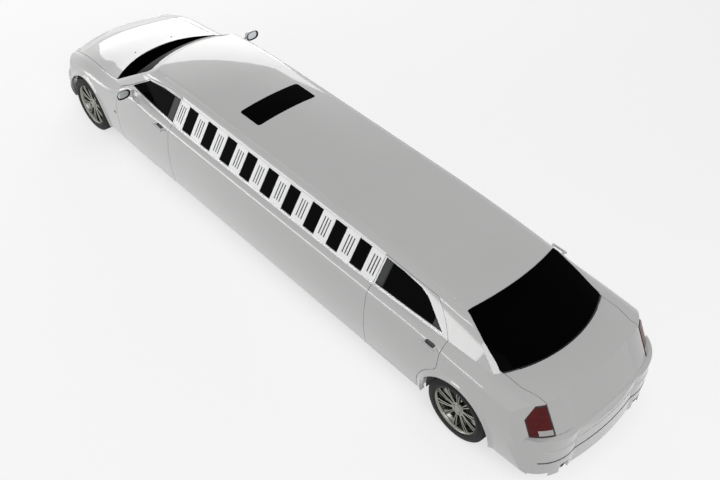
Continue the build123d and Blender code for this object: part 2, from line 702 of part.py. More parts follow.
SPOKE_PAIRS = 10
SPOKE_SPLAY_DEG = 3.8
HUB_BORE_R = 33
STUB_R = 28
STUB_END_X = 862


def wheel(x, y):
    """Alloy wheel: rim barrel, hub, paired thin spokes and the brake disc behind them; x is outward."""
    sign = 1 if x > 0 else -1
    face_x = x + sign * 92
    half = TYRE_WIDTH / 2 - 14

    def ring(x0, x1, outer, inner):
        low, high = min(x0, x1), max(x0, x1)
        return tube_x(low, high, y, TYRE_R, outer) - tube_x(low - 1, high + 1, y, TYRE_R, inner)

    barrel = ring(x - half, x + half, RIM_R, RIM_R - 12)
    hub = ring(face_x - sign * 120, face_x - sign * 6, 74, HUB_BORE_R)
    cap = tube_x(min(face_x - sign * 20, face_x), max(face_x - sign * 20, face_x), y, TYRE_R, 74)
    disc = ring(x - sign * 32, x - sign * 14, 165, 60)
    spokes = []
    for index in range(SPOKE_PAIRS):
        for side in (-1, 1):
            angle = 360 / SPOKE_PAIRS * index + side * SPOKE_SPLAY_DEG
            bar = box(min(face_x, face_x - sign * 26), max(face_x, face_x - sign * 26), y - 6, y + 6,
                      TYRE_R + 60, TYRE_R + RIM_R - 6)
            spokes.append(bar.rotate(Axis((0, y, TYRE_R), (1, 0, 0)), angle))
    return mass_of(barrel, hub, cap, disc, *spokes)


def knuckle(sign):
    """Steering knuckle: upright with lower ear, stub axle and brake caliper."""
    y, z = FRONT_AXLE_Y, TYRE_R
    upright = box(645, 672, y - 42, y + 42, 246, 470)
    ear = box(645, 745, y - 30, y + 30, 246, 266)
    stub = tube_x(660, STUB_END_X, y, z, STUB_R)
    arm = box(655, 672, y - 150, y - 40, 300, 322)
    left = mass_of(upright, ear, stub, arm, caliper(y))
    return left if sign > 0 else mirrored(left)


def caliper(y):
    """Brake caliper astride the disc behind the axle line, with its bracket."""
    block = box(752, 806, y + 96, y + 196, TYRE_R - 55, TYRE_R + 55)
    block = block - box(761, 793, y + 60, y + 172, TYRE_R - 80, TYRE_R + 80)
    bracket = box(655, 756, y + 150, y + 196, TYRE_R - 20, TYRE_R + 20)
    foot = box(655, 672, y + 38, y + 196, TYRE_R - 20, TYRE_R + 20)
    return mass_of(block, bracket, foot)


def front_subframe():
    """Front cross beam with the lower arms that carry the knuckles, and posts to the rails."""
    y = FRONT_AXLE_Y
    beam = box(-330, 330, y - 55, y + 55, 190, 240)
    parts = [beam]
    for sign in (-1, 1):
        x0, x1 = sorted((sign * 325, sign * 738))
        parts.append(box(x0, x1, y - 26, y + 26, 214, 240))
        x0, x1 = sorted((sign * 330, sign * 400))
        parts.append(box(x0, x1, y - 55, y + 55, 190, 380))
    return mass_of(*parts)


def rear_axle():
    """Differential, half shafts, hub carriers with stub axles and calipers."""
    y, z = REAR_AXLE_Y, TYRE_R
    housing = box(-140, 140, y - 130, y + 130, 264, 404)
    shaft = tube_x(120, STUB_END_X, y, z, STUB_R)
    upright = box(645, 672, y - 42, y + 42, 270, 458)
    link = box(120, 672, y - 20, y + 20, 272, 296)
    carrier = mass_of(shaft, upright, caliper(y), link)
    return mass_of(housing, carrier, mirrored(carrier))


def engine():
    """The engine and gearbox as one plain block."""
    y = FRONT_AXLE_Y
    block = box(-255, 255, y - 330, y + 430, 240, 800)
    return block - box(-330, 330, y - 60, y + 60, 180, 240)


def exhaust():
    """Twin exhaust: pipes under the floor, silencers and tail pipes with open tips."""
    left = []
    z = 206
    left.append(Pos(240, 0, z) * Rot(90, 0, 0) * Cylinder(28, 6100))
    left += [box(225, 255, y, y + 30, z + 20, FLOOR_Z[0]) for y in (-2200, -600, 1000, 2500)]
    left.append(box(212, 520, 3010, 3050, 186, 226))
    left.append(box(480, 520, 3020, 3670, 200, 226))
    left.append(box(440, 640, 3660, 4000, 200, 330))
    tip = Pos(540, 4080, 250) * Rot(90, 0, 0) * (Cylinder(36, 190) - Cylinder(31, 200))
    pipe = Pos(540, 4010, 250) * Rot(90, 0, 0) * Cylinder(32, 40)
    left += [pipe, tip]
    one = mass_of(*left)
    return one, mirrored(one)


def seat(x0, x1, y0, y1, back):
    """A simple seat: base, cushion and leaning back."""
    base = box(x0 + 60, x1 - 60, y0 + 60, y1 - 100, FLOOR_Z[1], 330)
    cushion = fillet(box(x0, x1, y0, y1 - 60, 330, 480).edges().filter_by(Axis.Z), 50)
    rest = side_prism(x0 + 20, x1 - 20, (y1 - 150, 470), (y1 - 30, 460), (y1 + 90, back), (y1, back),
                      (y1 - 150, 470))
    return mass_of(base, cushion, rest)


def front_seats():
    """Two front seats with head rests."""
    one = seat(140, 660, -2030, -1520, 1010)
    head = fillet(box(280, 520, -1450, -1370, 1060, 1190).edges(), 25)
    post = box(385, 415, -1440, -1410, 990, 1080)
    one = mass_of(one, head, post)
    return one, mirrored(one)


def lounge_seats():
    """The long side bench and the rear bench of the lounge."""
    bench = mass_of(box(-700, -240, -1150, 1700, FLOOR_Z[1], 440), box(-735, -620, -1150, 1700, 400, 900))
    rear = mass_of(box(-700, 700, 2040, 2600, FLOOR_Z[1], 440),
                   side_prism(-690, 690, (2520, 430), (2640, 440), (2780, 960), (2680, 960), (2520, 430)))
    return bench, rear


def dashboard():
    """Dashboard across the front of the cabin."""
    prism = side_prism(-735, 735, (-2600, 560), (-2420, 560), (-2330, 700), (-2310, 850), (-2400, 915),
                       (-2600, 935), (-2600, 560))
    return prism


def steering_wheel():
    """Steering wheel on its column, leaning towards the driver."""
    x, y, z = 400, -2150, 830
    tilt = -62
    ring = Torus(180, 15)
    hub = Cylinder(55, 40)
    spokes = [Rot(0, 0, angle) * Pos(100, 0, 0) * Box(160, 26, 14) for angle in (0, 180, 270)]
    column = Pos(0, 0, -110) * Cylinder(22, 220)
    wheel_set = mass_of(hub, *spokes, ring, column)
    return Pos(x, y, z) * Rot(-tilt, 0, 0) * wheel_set


def partition(shells):
    """The wall between driver and lounge."""
    slice_box = box(-1000, 1000, -1330, -1296, FLOOR_Z[1], 1600)
    slab = mass_of(shells.outer & slice_box, shells.house_inner & slice_box) - shells.frame
    walls = shells.wall & slice_box & box(SILL_IN_X, 1000, -1400, -1200, 0, 1200)
    return slab - walls - mirrored(walls)


def mirror_pod(door):
    """Door mirror: a rounded shell on a short arm, hollow behind for its glass."""
    pod = fillet(box(866, 1046, -2345, -2245, 1056, 1176).edges(), 34)
    hollow = box(884, 1030, -2262, -2200, 1074, 1160)
    arm = box(790, 900, -2330, -2280, 1066, 1092)
    return mass_of(pod - hollow, arm) - door


JACK_PAD_Z = 176
JACK_PAD_Y = (-2300, 2350)


def jack_pads():
    """Square pads under the sill, where the car is lifted."""
    return [box(770, 840, y - 35, y + 35, JACK_PAD_Z, SILL_Z + 20) for y in JACK_PAD_Y]


def both(name, piece):
    """A left piece and its mirror image as two nodes."""
    return {name + "_left": piece, name + "_right": mirrored(piece)}


def joined(*pieces):
    """Separate solids of one node."""
    solids = [solid for piece in pieces for solid in piece.solids()]
    return Compound(children=solids) if len(solids) > 1 else solids[0]


def build_body(shells):
    """Every panel and pane of the body."""
    lip = box(700, 806, -3000, 3000, DOOR_BOTTOM_Z - 10, 292)
    nodes = {}
    doors = (("front", front_door_zone(), FRONT_GLASS, FRONT_GRIP_Y),
             ("rear", rear_door_zone(), REAR_GLASS, REAR_GRIP_Y))
    for name, zone, window, grip in doors:
        door, pane = make_door(shells, zone, window, lip)
        door = mass_of(door, door_handle(*grip, GRIP_Z))
        nodes.update(both(name + "_door", door))
        nodes.update(both(name + "_door_glass", pane))
        if name == "front":
            nodes.update(both("mirror", mirror_pod(door)))
    side = mass_of(body_side(shells), *jack_pads())
    nodes.update(both("body_side", side))
    nodes.update(both("side_windows", side_panes(shells)))
    nodes["roof"] = make_roof(shells)
    nodes["sunroof_glass"] = (mass_of(*house(1)) - mass_of(*house(1 + GLASS))) & sunroof_hole()
    nodes["windshield"] = windshield(shells)
    nodes["rear_window"] = rear_window(shells)
    nodes["hood"] = make_hood(shells)
    nodes.update(both("front_fender", fender(shells)))
    nodes["cowl"] = cowl(shells)
    nodes["front_bumper"] = front_bumper()
    lamp = headlamp(shells)
    nodes["headlamps"] = joined(lamp, mirrored(lamp))
    nodes["grille"] = grille()
    nodes["trunk_lid"] = trunk_lid(shells)
    nodes.update(both("quarter_panel", quarter_panel(shells)))
    lamp = tail_lamp(shells)
    nodes["tail_lamps"] = joined(lamp, mirrored(lamp))
    nodes["rear_bumper"] = rear_bumper()
    nodes["rear_shelf"] = rear_shelf(shells)
    nodes["floor_pan"] = floor_pan(shells)
    nodes["partition"] = partition(shells)
    return nodes


def build_running_gear():
    """Wheels, axles, knuckles, engine and exhaust."""
    nodes = {}
    for end, y in (("front", FRONT_AXLE_Y), ("rear", REAR_AXLE_Y)):
        nodes.update(both("tyre_" + end, tyre(TRACK_HALF, y)))
        nodes.update(both("wheel_" + end, wheel(TRACK_HALF, y)))
    nodes["knuckle_left"] = knuckle(1)
    nodes["knuckle_right"] = knuckle(-1)
    nodes["front_subframe"] = front_subframe()
    nodes["rear_axle"] = rear_axle()
    nodes["engine"] = engine()
    nodes["exhaust"] = joined(*exhaust())
    nodes["wheel_arch_liners"] = joined(*liners())
    return nodes


def build_cabin():
    """What stands in the cabin."""
    return {"front_seats": joined(*front_seats()), "lounge_seats": joined(*lounge_seats()),
            "dashboard": dashboard(), "steering_wheel": steering_wheel() - dashboard()}


def main():
    os.makedirs("parts", exist_ok=True)
    nodes = build_body(Shells())
    nodes.update(build_running_gear())
    nodes.update(build_cabin())
    for name, piece in nodes.items():
        export_step(piece, f"parts/{name}.step")


main()
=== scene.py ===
import json
import math

import bmesh
import bpy
import numpy as np
from mathutils import Matrix, Vector


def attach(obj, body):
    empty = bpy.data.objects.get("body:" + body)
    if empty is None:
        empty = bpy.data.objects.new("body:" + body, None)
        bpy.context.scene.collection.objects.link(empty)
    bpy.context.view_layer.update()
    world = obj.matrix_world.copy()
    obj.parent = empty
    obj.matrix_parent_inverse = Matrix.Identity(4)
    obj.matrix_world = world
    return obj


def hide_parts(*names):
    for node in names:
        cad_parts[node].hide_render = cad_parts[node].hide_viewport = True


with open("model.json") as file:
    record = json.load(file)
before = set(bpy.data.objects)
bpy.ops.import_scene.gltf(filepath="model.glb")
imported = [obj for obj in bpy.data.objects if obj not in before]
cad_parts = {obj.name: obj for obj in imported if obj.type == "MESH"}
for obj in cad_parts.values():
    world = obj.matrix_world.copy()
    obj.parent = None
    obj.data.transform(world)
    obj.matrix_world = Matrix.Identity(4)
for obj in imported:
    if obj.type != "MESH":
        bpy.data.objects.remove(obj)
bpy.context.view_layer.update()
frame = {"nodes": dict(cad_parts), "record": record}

# Car layout, in metres, X to the car's left, Y to the rear, Z up
FRONT_AXLE_Y = -3.320
REAR_AXLE_Y = 3.160
TRACK_HALF = 0.800
TYRE_R = 0.364
TYRE_WIDTH = 0.245

# The photograph's camera, from the vanishing lines of the car and its wheels
CAMERA_AT = (5.252, 6.546, 7.875)
CAMERA_HEADING = math.radians(-137.378)
CAMERA_DOWN = math.radians(44.173)
CAMERA_ROLL = math.radians(0.426)
SENSOR_MM = 36.0
FOCAL_PX = 971.257
PHOTO_WIDTH_PX = 720


# Materials

def linear(hex_colour):
    """sRGB hex to linear RGBA."""
    values = [int(hex_colour[i:i + 2], 16) / 255 for i in (0, 2, 4)]
    rgb = [v / 12.92 if v <= 0.04045 else ((v + 0.055) / 1.055) ** 2.4 for v in values]
    return (*rgb, 1.0)


def add(tree, kind, settings=None, links=None, **attributes):
    """Adds a node, sets its attributes and sockets, and links its inputs to other nodes' outputs."""
    node = tree.nodes.new("ShaderNode" + kind)
    for name, value in attributes.items():
        setattr(node, name, value)
    for socket, value in (settings or {}).items():
        node.inputs[socket].default_value = value
    for socket, source in (links or {}).items():
        tree.links.new(source, node.inputs[socket])
    return node


def new_material(name):
    """An empty node material."""
    material = bpy.data.materials.new(name)
    material.use_nodes = True
    material.node_tree.nodes.clear()
    return material


def finish_material(material, shader):
    """Joins a shader to the material's output."""
    add(material.node_tree, "OutputMaterial", links={"Surface": shader.outputs[0]})
    return material


def object_noise(tree, scale, detail=3.0):
    """Noise on the piece's own coordinates, with a scale in cycles for each metre."""
    place = add(tree, "TexCoord")
    return add(tree, "TexNoise", {"Scale": scale, "Detail": detail, "Roughness": 0.5},
               {"Vector": place.outputs["Object"]})


def mottled(name, low, high, roughness, scale, bump=0.0, bump_scale=None, settings=None, spread=0.05):
    """A principled material whose colour and roughness wander between two close values."""
    material = new_material(name)
    tree = material.node_tree
    noise = object_noise(tree, scale)
    ramp = add(tree, "ValToRGB", links={"Fac": noise.outputs["Fac"]})
    ramp.color_ramp.elements[0].position = 0.35
    ramp.color_ramp.elements[1].position = 0.65
    ramp.color_ramp.elements[0].color = linear(low)
    ramp.color_ramp.elements[1].color = linear(high)
    rough = add(tree, "MapRange", {"To Min": roughness - spread, "To Max": roughness + spread},
                {"Value": noise.outputs["Fac"]})
    links = {"Base Color": ramp.outputs[0], "Roughness": rough.outputs[0]}
    if bump:
        grain = object_noise(tree, bump_scale, detail=2.0)
        relief = add(tree, "Bump", {"Strength": 1.0, "Distance": bump}, {"Height": grain.outputs["Fac"]})
        links["Normal"] = relief.outputs[0]
    shader = add(tree, "BsdfPrincipled", settings or {}, links)
    return finish_material(material, shader)


METAL = {"Metallic": 1.0}


def make_materials():
    """Every finish of the car, by the material slot that it dresses."""
    return {
        # Three-stage pearl white: a cool white base under a glossy clear coat
        "white_paint": mottled("pearl_white_clearcoat_paint", "E9E9E8", "EDEDEC", 0.34, 0.7,
                               settings={"Coat Weight": 1.0, "Coat Roughness": 0.03, "Coat IOR": 1.8}, spread=0.02),
        # Privacy-tinted toughened glass: black, with sharp reflections
        "dark_glass": mottled("tinted_toughened_glass", "030303", "050506", 0.05, 1.2,
                              settings={"IOR": 1.45, "Specular IOR Level": 0.01}, spread=0.02),
        "tyre": mottled("carbon_black_rubber", "161616", "1D1D1D", 0.78, 60, bump=0.0004, bump_scale=900),
        # Cast alloy under a clear lacquer: grey, with soft broad reflections
        "chrome_wheel": mottled("lacquered_cast_alloy", "8E8E88", "9C9C95", 0.24, 8, settings=METAL),
        "clear_lamp": mottled("clear_polycarbonate", "B9BEC2", "C9CDD0", 0.08, 6),
        "red_lamp": mottled("red_moulded_acrylic", "7A0A0C", "8E1013", 0.10, 6,
                            settings={"Coat Weight": 0.6, "Coat Roughness": 0.03}),
        "chrome": mottled("bright_chrome_trim", "DADCDD", "E4E6E7", 0.10, 8, settings=METAL),
        "black_leather": mottled("black_grained_leather", "1B1A1A", "242323", 0.5, 14, bump=0.0012,
                                 bump_scale=260),
        "black_plastic": mottled("black_grained_polypropylene", "17181A", "1F2022", 0.55, 10, bump=0.0005,
                                 bump_scale=500),
        "underbody": mottled("sprayed_underbody_wax", "1C1D1F", "28292B", 0.7, 6, bump=0.0015, bump_scale=120),
        # Satin grey mouldings: trim beside the glass; the louvres' liners are dark grey as painted shade in the slits
        "grey_trim": mottled("satin_grey_polypropylene", "232527", "2A2C2E", 0.5, 12, bump=0.0003, bump_scale=420),
        "louvre_painted_shade": mottled("charcoal_painted_shade_liner", "2E3032", "393B3D", 0.55, 20, bump=0.0003,
                                  bump_scale=420),
        "seal_rubber": mottled("extruded_epdm_rubber", "0C0C0D", "141415", 0.68, 30, bump=0.0002, bump_scale=700),
        # Painted reflection: a near black, dull sheet over the lower windshield stands in for the dark reflection in
        # its glass
        "painted_dark_reflection": mottled("painted_dark_reflection_sheet", "020202", "040405", 0.5, 5,
                               settings={"Specular IOR Level": 0.0}),
        "mirror_glass": mottled("silvered_mirror_glass", "C9CDD0", "D2D6D8", 0.03, 3, settings=METAL,
                                spread=0.01),
        # Painted shade: a dark grey plate in the cup behind the pull stands in for its shade, and reads as a thin dark
        # line
        "cup_shadow": mottled("painted_shade_handle_cup", "4A4B4B", "545554", 0.5, 20),
        # Prismatic reflector moulded in clear acrylic over a white backing
        "clear_reflector": mottled("clear_prismatic_acrylic", "D8D6D2", "E6E4E0", 0.12, 60,
                                   settings={"Coat Weight": 0.5, "Coat Roughness": 0.03}),
        # Moulded through in red: cells show lighter where they face the sky
        "red_lens": mottled("red_cell_moulded_acrylic", "5E0306", "74070B", 0.3, 30,
                            settings={"Specular IOR Level": 0.25}),
        "amber_lamp": mottled("amber_moulded_acrylic", "9A5A12", "B06A18", 0.12, 40, settings={"Coat Weight": 0.5}),
        "cast_steel": mottled("cast_steel", "5A5B5D", "6E6F71", 0.5, 12, bump=0.001, bump_scale=200,
                              settings={"Metallic": 0.9}),
        "exhaust_steel": mottled("aluminised_steel_pipe", "807C76", "97938C", 0.35, 9,
                                 settings=METAL, spread=0.1),
    }


def dress_nodes(materials):
    """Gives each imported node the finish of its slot."""
    slots = {row["node"]: row["material_slot"] for row in frame["record"]["subparts"]}
    for name, obj in frame["nodes"].items():
        obj.data.materials.clear()
        obj.data.materials.append(materials[slots[name]])


# Surfaces

def build_mesh(name, points, faces, material):
    """A mesh object from arrays of corners and quads, at the origin."""
    points = np.asarray(points, np.float32).reshape(-1, 3)
    faces = np.asarray(faces, np.int32).reshape(-1, 4)
    mesh = bpy.data.meshes.new(name)
    mesh.vertices.add(len(points))
    mesh.vertices.foreach_set("co", points.ravel())
    mesh.loops.add(faces.size)
    mesh.loops.foreach_set("vertex_index", faces.ravel())
    mesh.polygons.add(len(faces))
    mesh.polygons.foreach_set("loop_start", np.arange(0, faces.size, 4, dtype=np.int32))
    mesh.polygons.foreach_set("use_smooth", np.full(len(faces), True))
    mesh.update(calc_edges=True)
    mesh.validate()
    mesh.materials.append(material)
    piece = bpy.data.objects.new(name, mesh)
    bpy.context.scene.collection.objects.link(piece)
    return piece


def grid_faces(rows, columns, round_rows=False, round_columns=False):
    """Quads of a grid, joined end to end in a direction that is round."""
    i = np.arange(rows if round_rows else rows - 1)[:, None]
    j = np.arange(columns if round_columns else columns - 1)[None, :]
    i1, j1 = (i + 1) % rows, (j + 1) % columns
    corners = [i * columns + j, i1 * columns + j, i1 * columns + j1, i * columns + j1]
    return np.stack(corners, axis=-1).reshape(-1, 4)


def stack_tubes(grids):
    """Corners and quads of several tubes of one kind: an array (count, rows, columns round, 3)."""
    count, rows, columns = grids.shape[:3]
    faces = grid_faces(rows, columns, round_columns=True)[None] + (np.arange(count) * rows * columns)[:, None, None]
    return grids.reshape(-1, 3), faces.reshape(-1, 4)


def circle(steps):
    """Points (cos, sin) at even steps round the unit circle."""
    angle = np.arange(steps) * 2 * math.pi / steps
    return np.stack([np.cos(angle), np.sin(angle)], axis=-1)


def turned(profile, centre, steps):
    """Grid of a profile of (across, radius) rows turned about the X axis line through centre."""
    profile = np.asarray(profile, float)
    grid = np.empty((steps, len(profile), 3))
    grid[..., 0] = centre[0] + profile[:, 0]
    grid[..., 1:] = np.asarray(centre)[1:] + circle(steps)[:, None] * profile[:, 1:]
    return grid


def carried(profile, path, out, closed=False):
    """Grid of a profile of (along out, along side) rows carried along a path, out being a direction at each point."""
    path, out, profile = (np.asarray(a, float) for a in (path, out, profile))
    out = np.broadcast_to(out, path.shape)
    if closed:
        ahead = np.roll(path, -1, axis=0) - np.roll(path, 1, axis=0)
    else:
        ahead = np.gradient(path, axis=0)
    ahead /= np.linalg.norm(ahead, axis=1, keepdims=True)
    out = out - (out * ahead).sum(axis=1, keepdims=True) * ahead
    out = out / np.linalg.norm(out, axis=1, keepdims=True)
    side = np.cross(out, ahead)
    return (path[:, None] + profile[None, :, :1] * out[:, None] + profile[None, :, 1:] * side[:, None])


def placed(piece, body, replaces=()):
    """Gives a piece its body and the nodes that it stands for."""
    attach(piece, body)
    if replaces:
        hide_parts(*replaces)
    return piece


# Wheels and tyres

WHEELS = {"front_left": (1, FRONT_AXLE_Y), "front_right": (-1, FRONT_AXLE_Y),
          "rear_left": (1, REAR_AXLE_Y), "rear_right": (-1, REAR_AXLE_Y)}
TREAD_BLOCKS = 72
TREAD_GROOVES = (-0.072, -0.026, 0.026, 0.072)
GROOVE_DEPTH = 0.0075


def tyre_grid(centre):
    """Sidewall and tread: an arched profile turned about the axle, cut by round and slanting grooves.

    Across the tyre u the radius is 0.364 less a crown term in u squared; a smooth window of u cuts the round
    grooves, and a square wave of the angle plus a slant in u cuts the cross grooves of the blocks.
    """
    half = TYRE_WIDTH / 2
    wall = [(-half + 0.020, 0.259), (-half + 0.008, 0.266), (-half + 0.0015, 0.276), (-half, 0.292),
            (-half + 0.0005, 0.306), (-half + 0.003, 0.307), (-half + 0.0035, 0.320), (-half + 0.007, 0.321),
            (-half + 0.010, 0.336), (-half + 0.016, 0.348), (-half + 0.024, 0.3560)]
    tread = np.linspace(-half + 0.030, half - 0.030, 61)
    right = [(-u, r) for u, r in reversed(wall)]
    across = np.array([u for u, _ in wall] + list(tread) + [u for u, _ in right])
    crown = TYRE_R - 0.0006 - 0.30 * tread ** 2
    base = np.array([r for _, r in wall] + list(crown) + [r for _, r in right])
    steps = TREAD_BLOCKS * 6
    angle = np.arange(steps) * 2 * math.pi / steps
    on_tread = np.abs(across) < half - 0.029
    near = np.min(np.abs(across[:, None] - np.array(TREAD_GROOVES)[None]), axis=1)
    round_cut = np.clip((0.0052 - near) / 0.0012, 0, 1) * on_tread
    phase = (angle[:, None] * TREAD_BLOCKS / (2 * math.pi) + np.abs(across)[None] * 9.0 + 0.02) % 1.0
    outer = (np.abs(across) > 0.028)[None] * on_tread[None]
    cross_cut = ((phase < 0.17) * outer).astype(float)
    cut = np.maximum(round_cut[None] * np.ones((steps, 1)), cross_cut * 0.85)
    shoulder = (np.abs(across) > half - 0.034)[None] & (base > 0.345)[None]
    ribs = 0.0035 * (phase < 0.17) * shoulder
    radius = base[None] - GROOVE_DEPTH * cut - ribs
    grid = np.empty((steps, len(across), 3))
    grid[..., 0] = centre[0] + across[None]
    grid[..., 1] = centre[1] + np.cos(angle)[:, None] * radius
    grid[..., 2] = centre[2] + np.sin(angle)[:, None] * radius
    return grid


def make_tyres(materials):
    """A treaded tyre on each wheel body in place of the plain one."""
    for name, (sign, y) in WHEELS.items():
        points = tyre_grid((sign * TRACK_HALF, y, TYRE_R))
        faces = grid_faces(points.shape[0], points.shape[1], round_rows=True)
        piece = build_mesh("tread_tyre_" + name, points, faces, materials["tyre"])
        placed(piece, "wheel_" + name, ["tyre_" + name])


SPOKES = 10
RIM_FLANGE = ((0.1000, 0.2560), (0.1045, 0.2590), (0.1085, 0.2630), (0.1100, 0.2670), (0.1100, 0.2700),
              (0.1080, 0.2712), (0.1062, 0.2690), (0.1050, 0.2640))
RIM_BARREL = ((-0.1070, 0.2690), (-0.1085, 0.2650), (-0.1070, 0.2580), (-0.1000, 0.2520), (-0.0850, 0.2440),
              (-0.0300, 0.2330), (0.0100, 0.2280), (0.0450, 0.2330), (0.0600, 0.2420), (0.0800, 0.2470),
              (0.0900, 0.2490), (0.1000, 0.2560))
HUB_DOME = ((0.0560, 0.0790), (0.0700, 0.0780), (0.0760, 0.0740), (0.0780, 0.0680), (0.0760, 0.0600),
            (0.0755, 0.0420), (0.0780, 0.0350), (0.0840, 0.0335), (0.0862, 0.0315), (0.0872, 0.0250),
            (0.0880, 0.0120), (0.0882, 0.0))
BRAKE_DISC = ((-0.0140, 0.0620), (-0.0140, 0.1500), (-0.0146, 0.1640), (-0.0160, 0.1650), (-0.0300, 0.1650),
              (-0.0314, 0.1640), (-0.0320, 0.1500), (-0.0320, 0.0620))
BRAKE_BELL = ((-0.0320, 0.0560), (0.0080, 0.0560), (0.0120, 0.0700), (0.0110, 0.0780), (-0.0140, 0.0800),
              (-0.0140, 0.0880))
LUG_RING = 0.0530
LUGS = 5


def rib_grids(centre, sign):
    """The twenty slim ribs: each a rounded bar from the hub out to the rim, two to a spoke.

    Along a rib r runs from hub to rim; its centre stands sideways by a line in r and outwards by a low sine.
    """
    t = np.linspace(0, 1, 18)
    r = 0.048 + 0.204 * t
    spread = 0.0045 + 0.0140 * t ** 1.1
    out = 0.0740 + 0.0140 * np.sin(t * math.pi * 0.62) + 0.0030 * t
    width = 0.0050 + 0.0014 * t + 0.0026 * np.clip((t - 0.86) / 0.14, 0, 1) ** 2
    depth = 0.030 - 0.006 * t
    outline = np.array([(-1.0, -1.25), (-0.14, -1.0), (-0.03, -0.80), (0.03, -0.35), (0.04, 0.0), (0.03, 0.35),
                        (-0.03, 0.80), (-0.14, 1.0), (-1.0, 1.25)])
    angle = np.repeat(np.arange(SPOKES) * 2 * math.pi / SPOKES, 2) + math.pi / 2
    side = np.tile([-1.0, 1.0], SPOKES)
    radial = np.stack([np.zeros_like(angle), np.cos(angle), np.sin(angle)], axis=-1)
    lateral = np.stack([np.zeros_like(angle), -np.sin(angle), np.cos(angle)], axis=-1)
    across = side[:, None, None] * spread[None, :, None] + outline[None, None, :, 1] * width[None, :, None]
    outward = out[None, :, None] + outline[None, None, :, 0] * depth[None, :, None]
    grid = (r[None, :, None, None] * radial[:, None, None] + across[..., None] * lateral[:, None, None]
            + outward[..., None] * np.array((sign, 0, 0)))
    return grid + np.asarray(centre)


def lug_grids(centre, sign):
    """Five six-sided nuts round the hub, each a short prism with a domed end."""
    rows = np.array([(0.0700, 0.0085), (0.0800, 0.0085), (0.0830, 0.0070), (0.0842, 0.0030), (0.0844, 0.0)])
    nut = turned(rows * (sign, 1), (0, 0, 0), 6).transpose(1, 0, 2)
    angle = np.arange(LUGS) * 2 * math.pi / LUGS + math.pi / 2
    places = np.stack([0 * angle, LUG_RING * np.cos(angle), LUG_RING * np.sin(angle)], axis=-1)
    return nut[None] + places[:, None, None] + np.asarray(centre)


def join_grids(parts):
    """One set of corners and quads from several (corners, quads) sets."""
    corners, quads, start = [], [], 0
    for points, faces in parts:
        points = np.asarray(points, float).reshape(-1, 3)
        corners.append(points)
        quads.append(faces + start)
        start += len(points)
    return np.concatenate(corners), np.concatenate(quads)


def round_grid(profile, centre, sign, steps):
    """Corners and quads of a turned profile, across measured outwards from the car."""
    grid = turned([(sign * u, r) for u, r in profile], centre, steps)
    return grid, grid_faces(steps, len(profile), round_rows=True)


def make_wheels(materials):
    """A detailed alloy wheel, its nuts, cap and brake disc, on each wheel body."""
    for name, (sign, y) in WHEELS.items():
        centre = (sign * TRACK_HALF, y, TYRE_R)
        ribs = rib_grids(centre, sign)
        parts = [round_grid(RIM_BARREL, centre, sign, 144), round_grid(RIM_FLANGE, centre, sign, 144),
                 round_grid(HUB_DOME, centre, sign, 60), stack_tubes(ribs),
                 stack_tubes(lug_grids(centre, sign))]
        wheel = build_mesh("ten_spoke_alloy_wheel_" + name, *join_grids(parts), materials["chrome_wheel"])
        placed(wheel, "wheel_" + name, ["wheel_" + name])
        outward_faces(wheel)
        disc = build_mesh("brake_disc_" + name, *join_grids([round_grid(BRAKE_DISC, centre, sign, 96),
                                                            round_grid(BRAKE_BELL, centre, sign, 72)]),
                          materials["cast_steel"])
        placed(disc, "wheel_" + name)
        outward_faces(disc)


MERGE_DISTANCE = 0.00002


def outward_faces(piece):
    """Merges doubled corners and turns every face outwards."""
    work = bmesh.new()
    work.from_mesh(piece.data)
    bmesh.ops.remove_doubles(work, verts=work.verts, dist=MERGE_DISTANCE)
    bmesh.ops.recalc_face_normals(work, faces=work.faces)
    work.to_mesh(piece.data)
    work.free()


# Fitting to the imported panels

SIDES = {"left": 1, "right": -1}


def node_triangles(names):
    """Corners (count, 3, 3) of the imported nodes' triangles."""
    found = []
    for name in names:
        mesh = frame["nodes"][name].data
        mesh.calc_loop_triangles()
        corners = np.empty(len(mesh.vertices) * 3, np.float32)
        mesh.vertices.foreach_get("co", corners)
        index = np.empty(len(mesh.loop_triangles) * 3, np.int32)
        mesh.loop_triangles.foreach_get("vertices", index)
        found.append(corners.reshape(-1, 3)[index].reshape(-1, 3, 3))
    return np.concatenate(found).astype(float)


def landed(points, names, axis, side):
    """Points moved along an axis onto the outermost face of the nodes there; not a number where there is none.

    A point's weights in a triangle, seen along the axis, are its signed areas; where none is negative the face
    lies under the point, and of those faces the one furthest out on that side is kept.
    """
    points = np.array(points, float)
    flat = [k for k in range(3) if k != axis]
    spots = points.reshape(-1, 3)[:, flat]
    faces = node_triangles(names)
    seen = faces[:, :, flat]
    near = ((seen.max(axis=1) >= spots.min(axis=0)) & (seen.min(axis=1) <= spots.max(axis=0))).all(axis=1)

    def area(p, q, r):
        return (q[..., 0] - p[..., 0]) * (r[..., 1] - p[..., 1]) - (q[..., 1] - p[..., 1]) * (r[..., 0] - p[..., 0])

    near &= np.abs(area(seen[:, 0], seen[:, 1], seen[:, 2])) > 1e-9
    a, b, c = (seen[near, k][None] for k in range(3))
    level_a, level_b, level_c = (side * faces[near, k, axis][None] for k in range(3))
    whole = area(a, b, c)
    best = []
    for some in np.array_split(spots, max(1, len(spots) * int(near.sum()) // 2_000_000)):
        at = some[:, None]
        weight_a = area(at, b, c) / whole
        weight_b = area(a, at, c) / whole
        weight_c = 1 - weight_a - weight_b
        inside = np.minimum(np.minimum(weight_a, weight_b), weight_c) > -1e-4
        level = weight_a * level_a + weight_b * level_b + weight_c * level_c
        best.append(np.where(inside, level, -np.inf).max(axis=1))
    best = np.concatenate(best)
    points.reshape(-1, 3)[:, axis] = np.where(np.isfinite(best), side * best, np.nan)
    return points


def filled(values):
    """Gaps in each column closed by the straight line between the rows beside them."""
    values = values.copy()
    rows = np.arange(len(values))
    for column in values.T:
        known = np.isfinite(column)
        column[~known] = np.interp(rows[~known], rows[known], column[known])
    return values


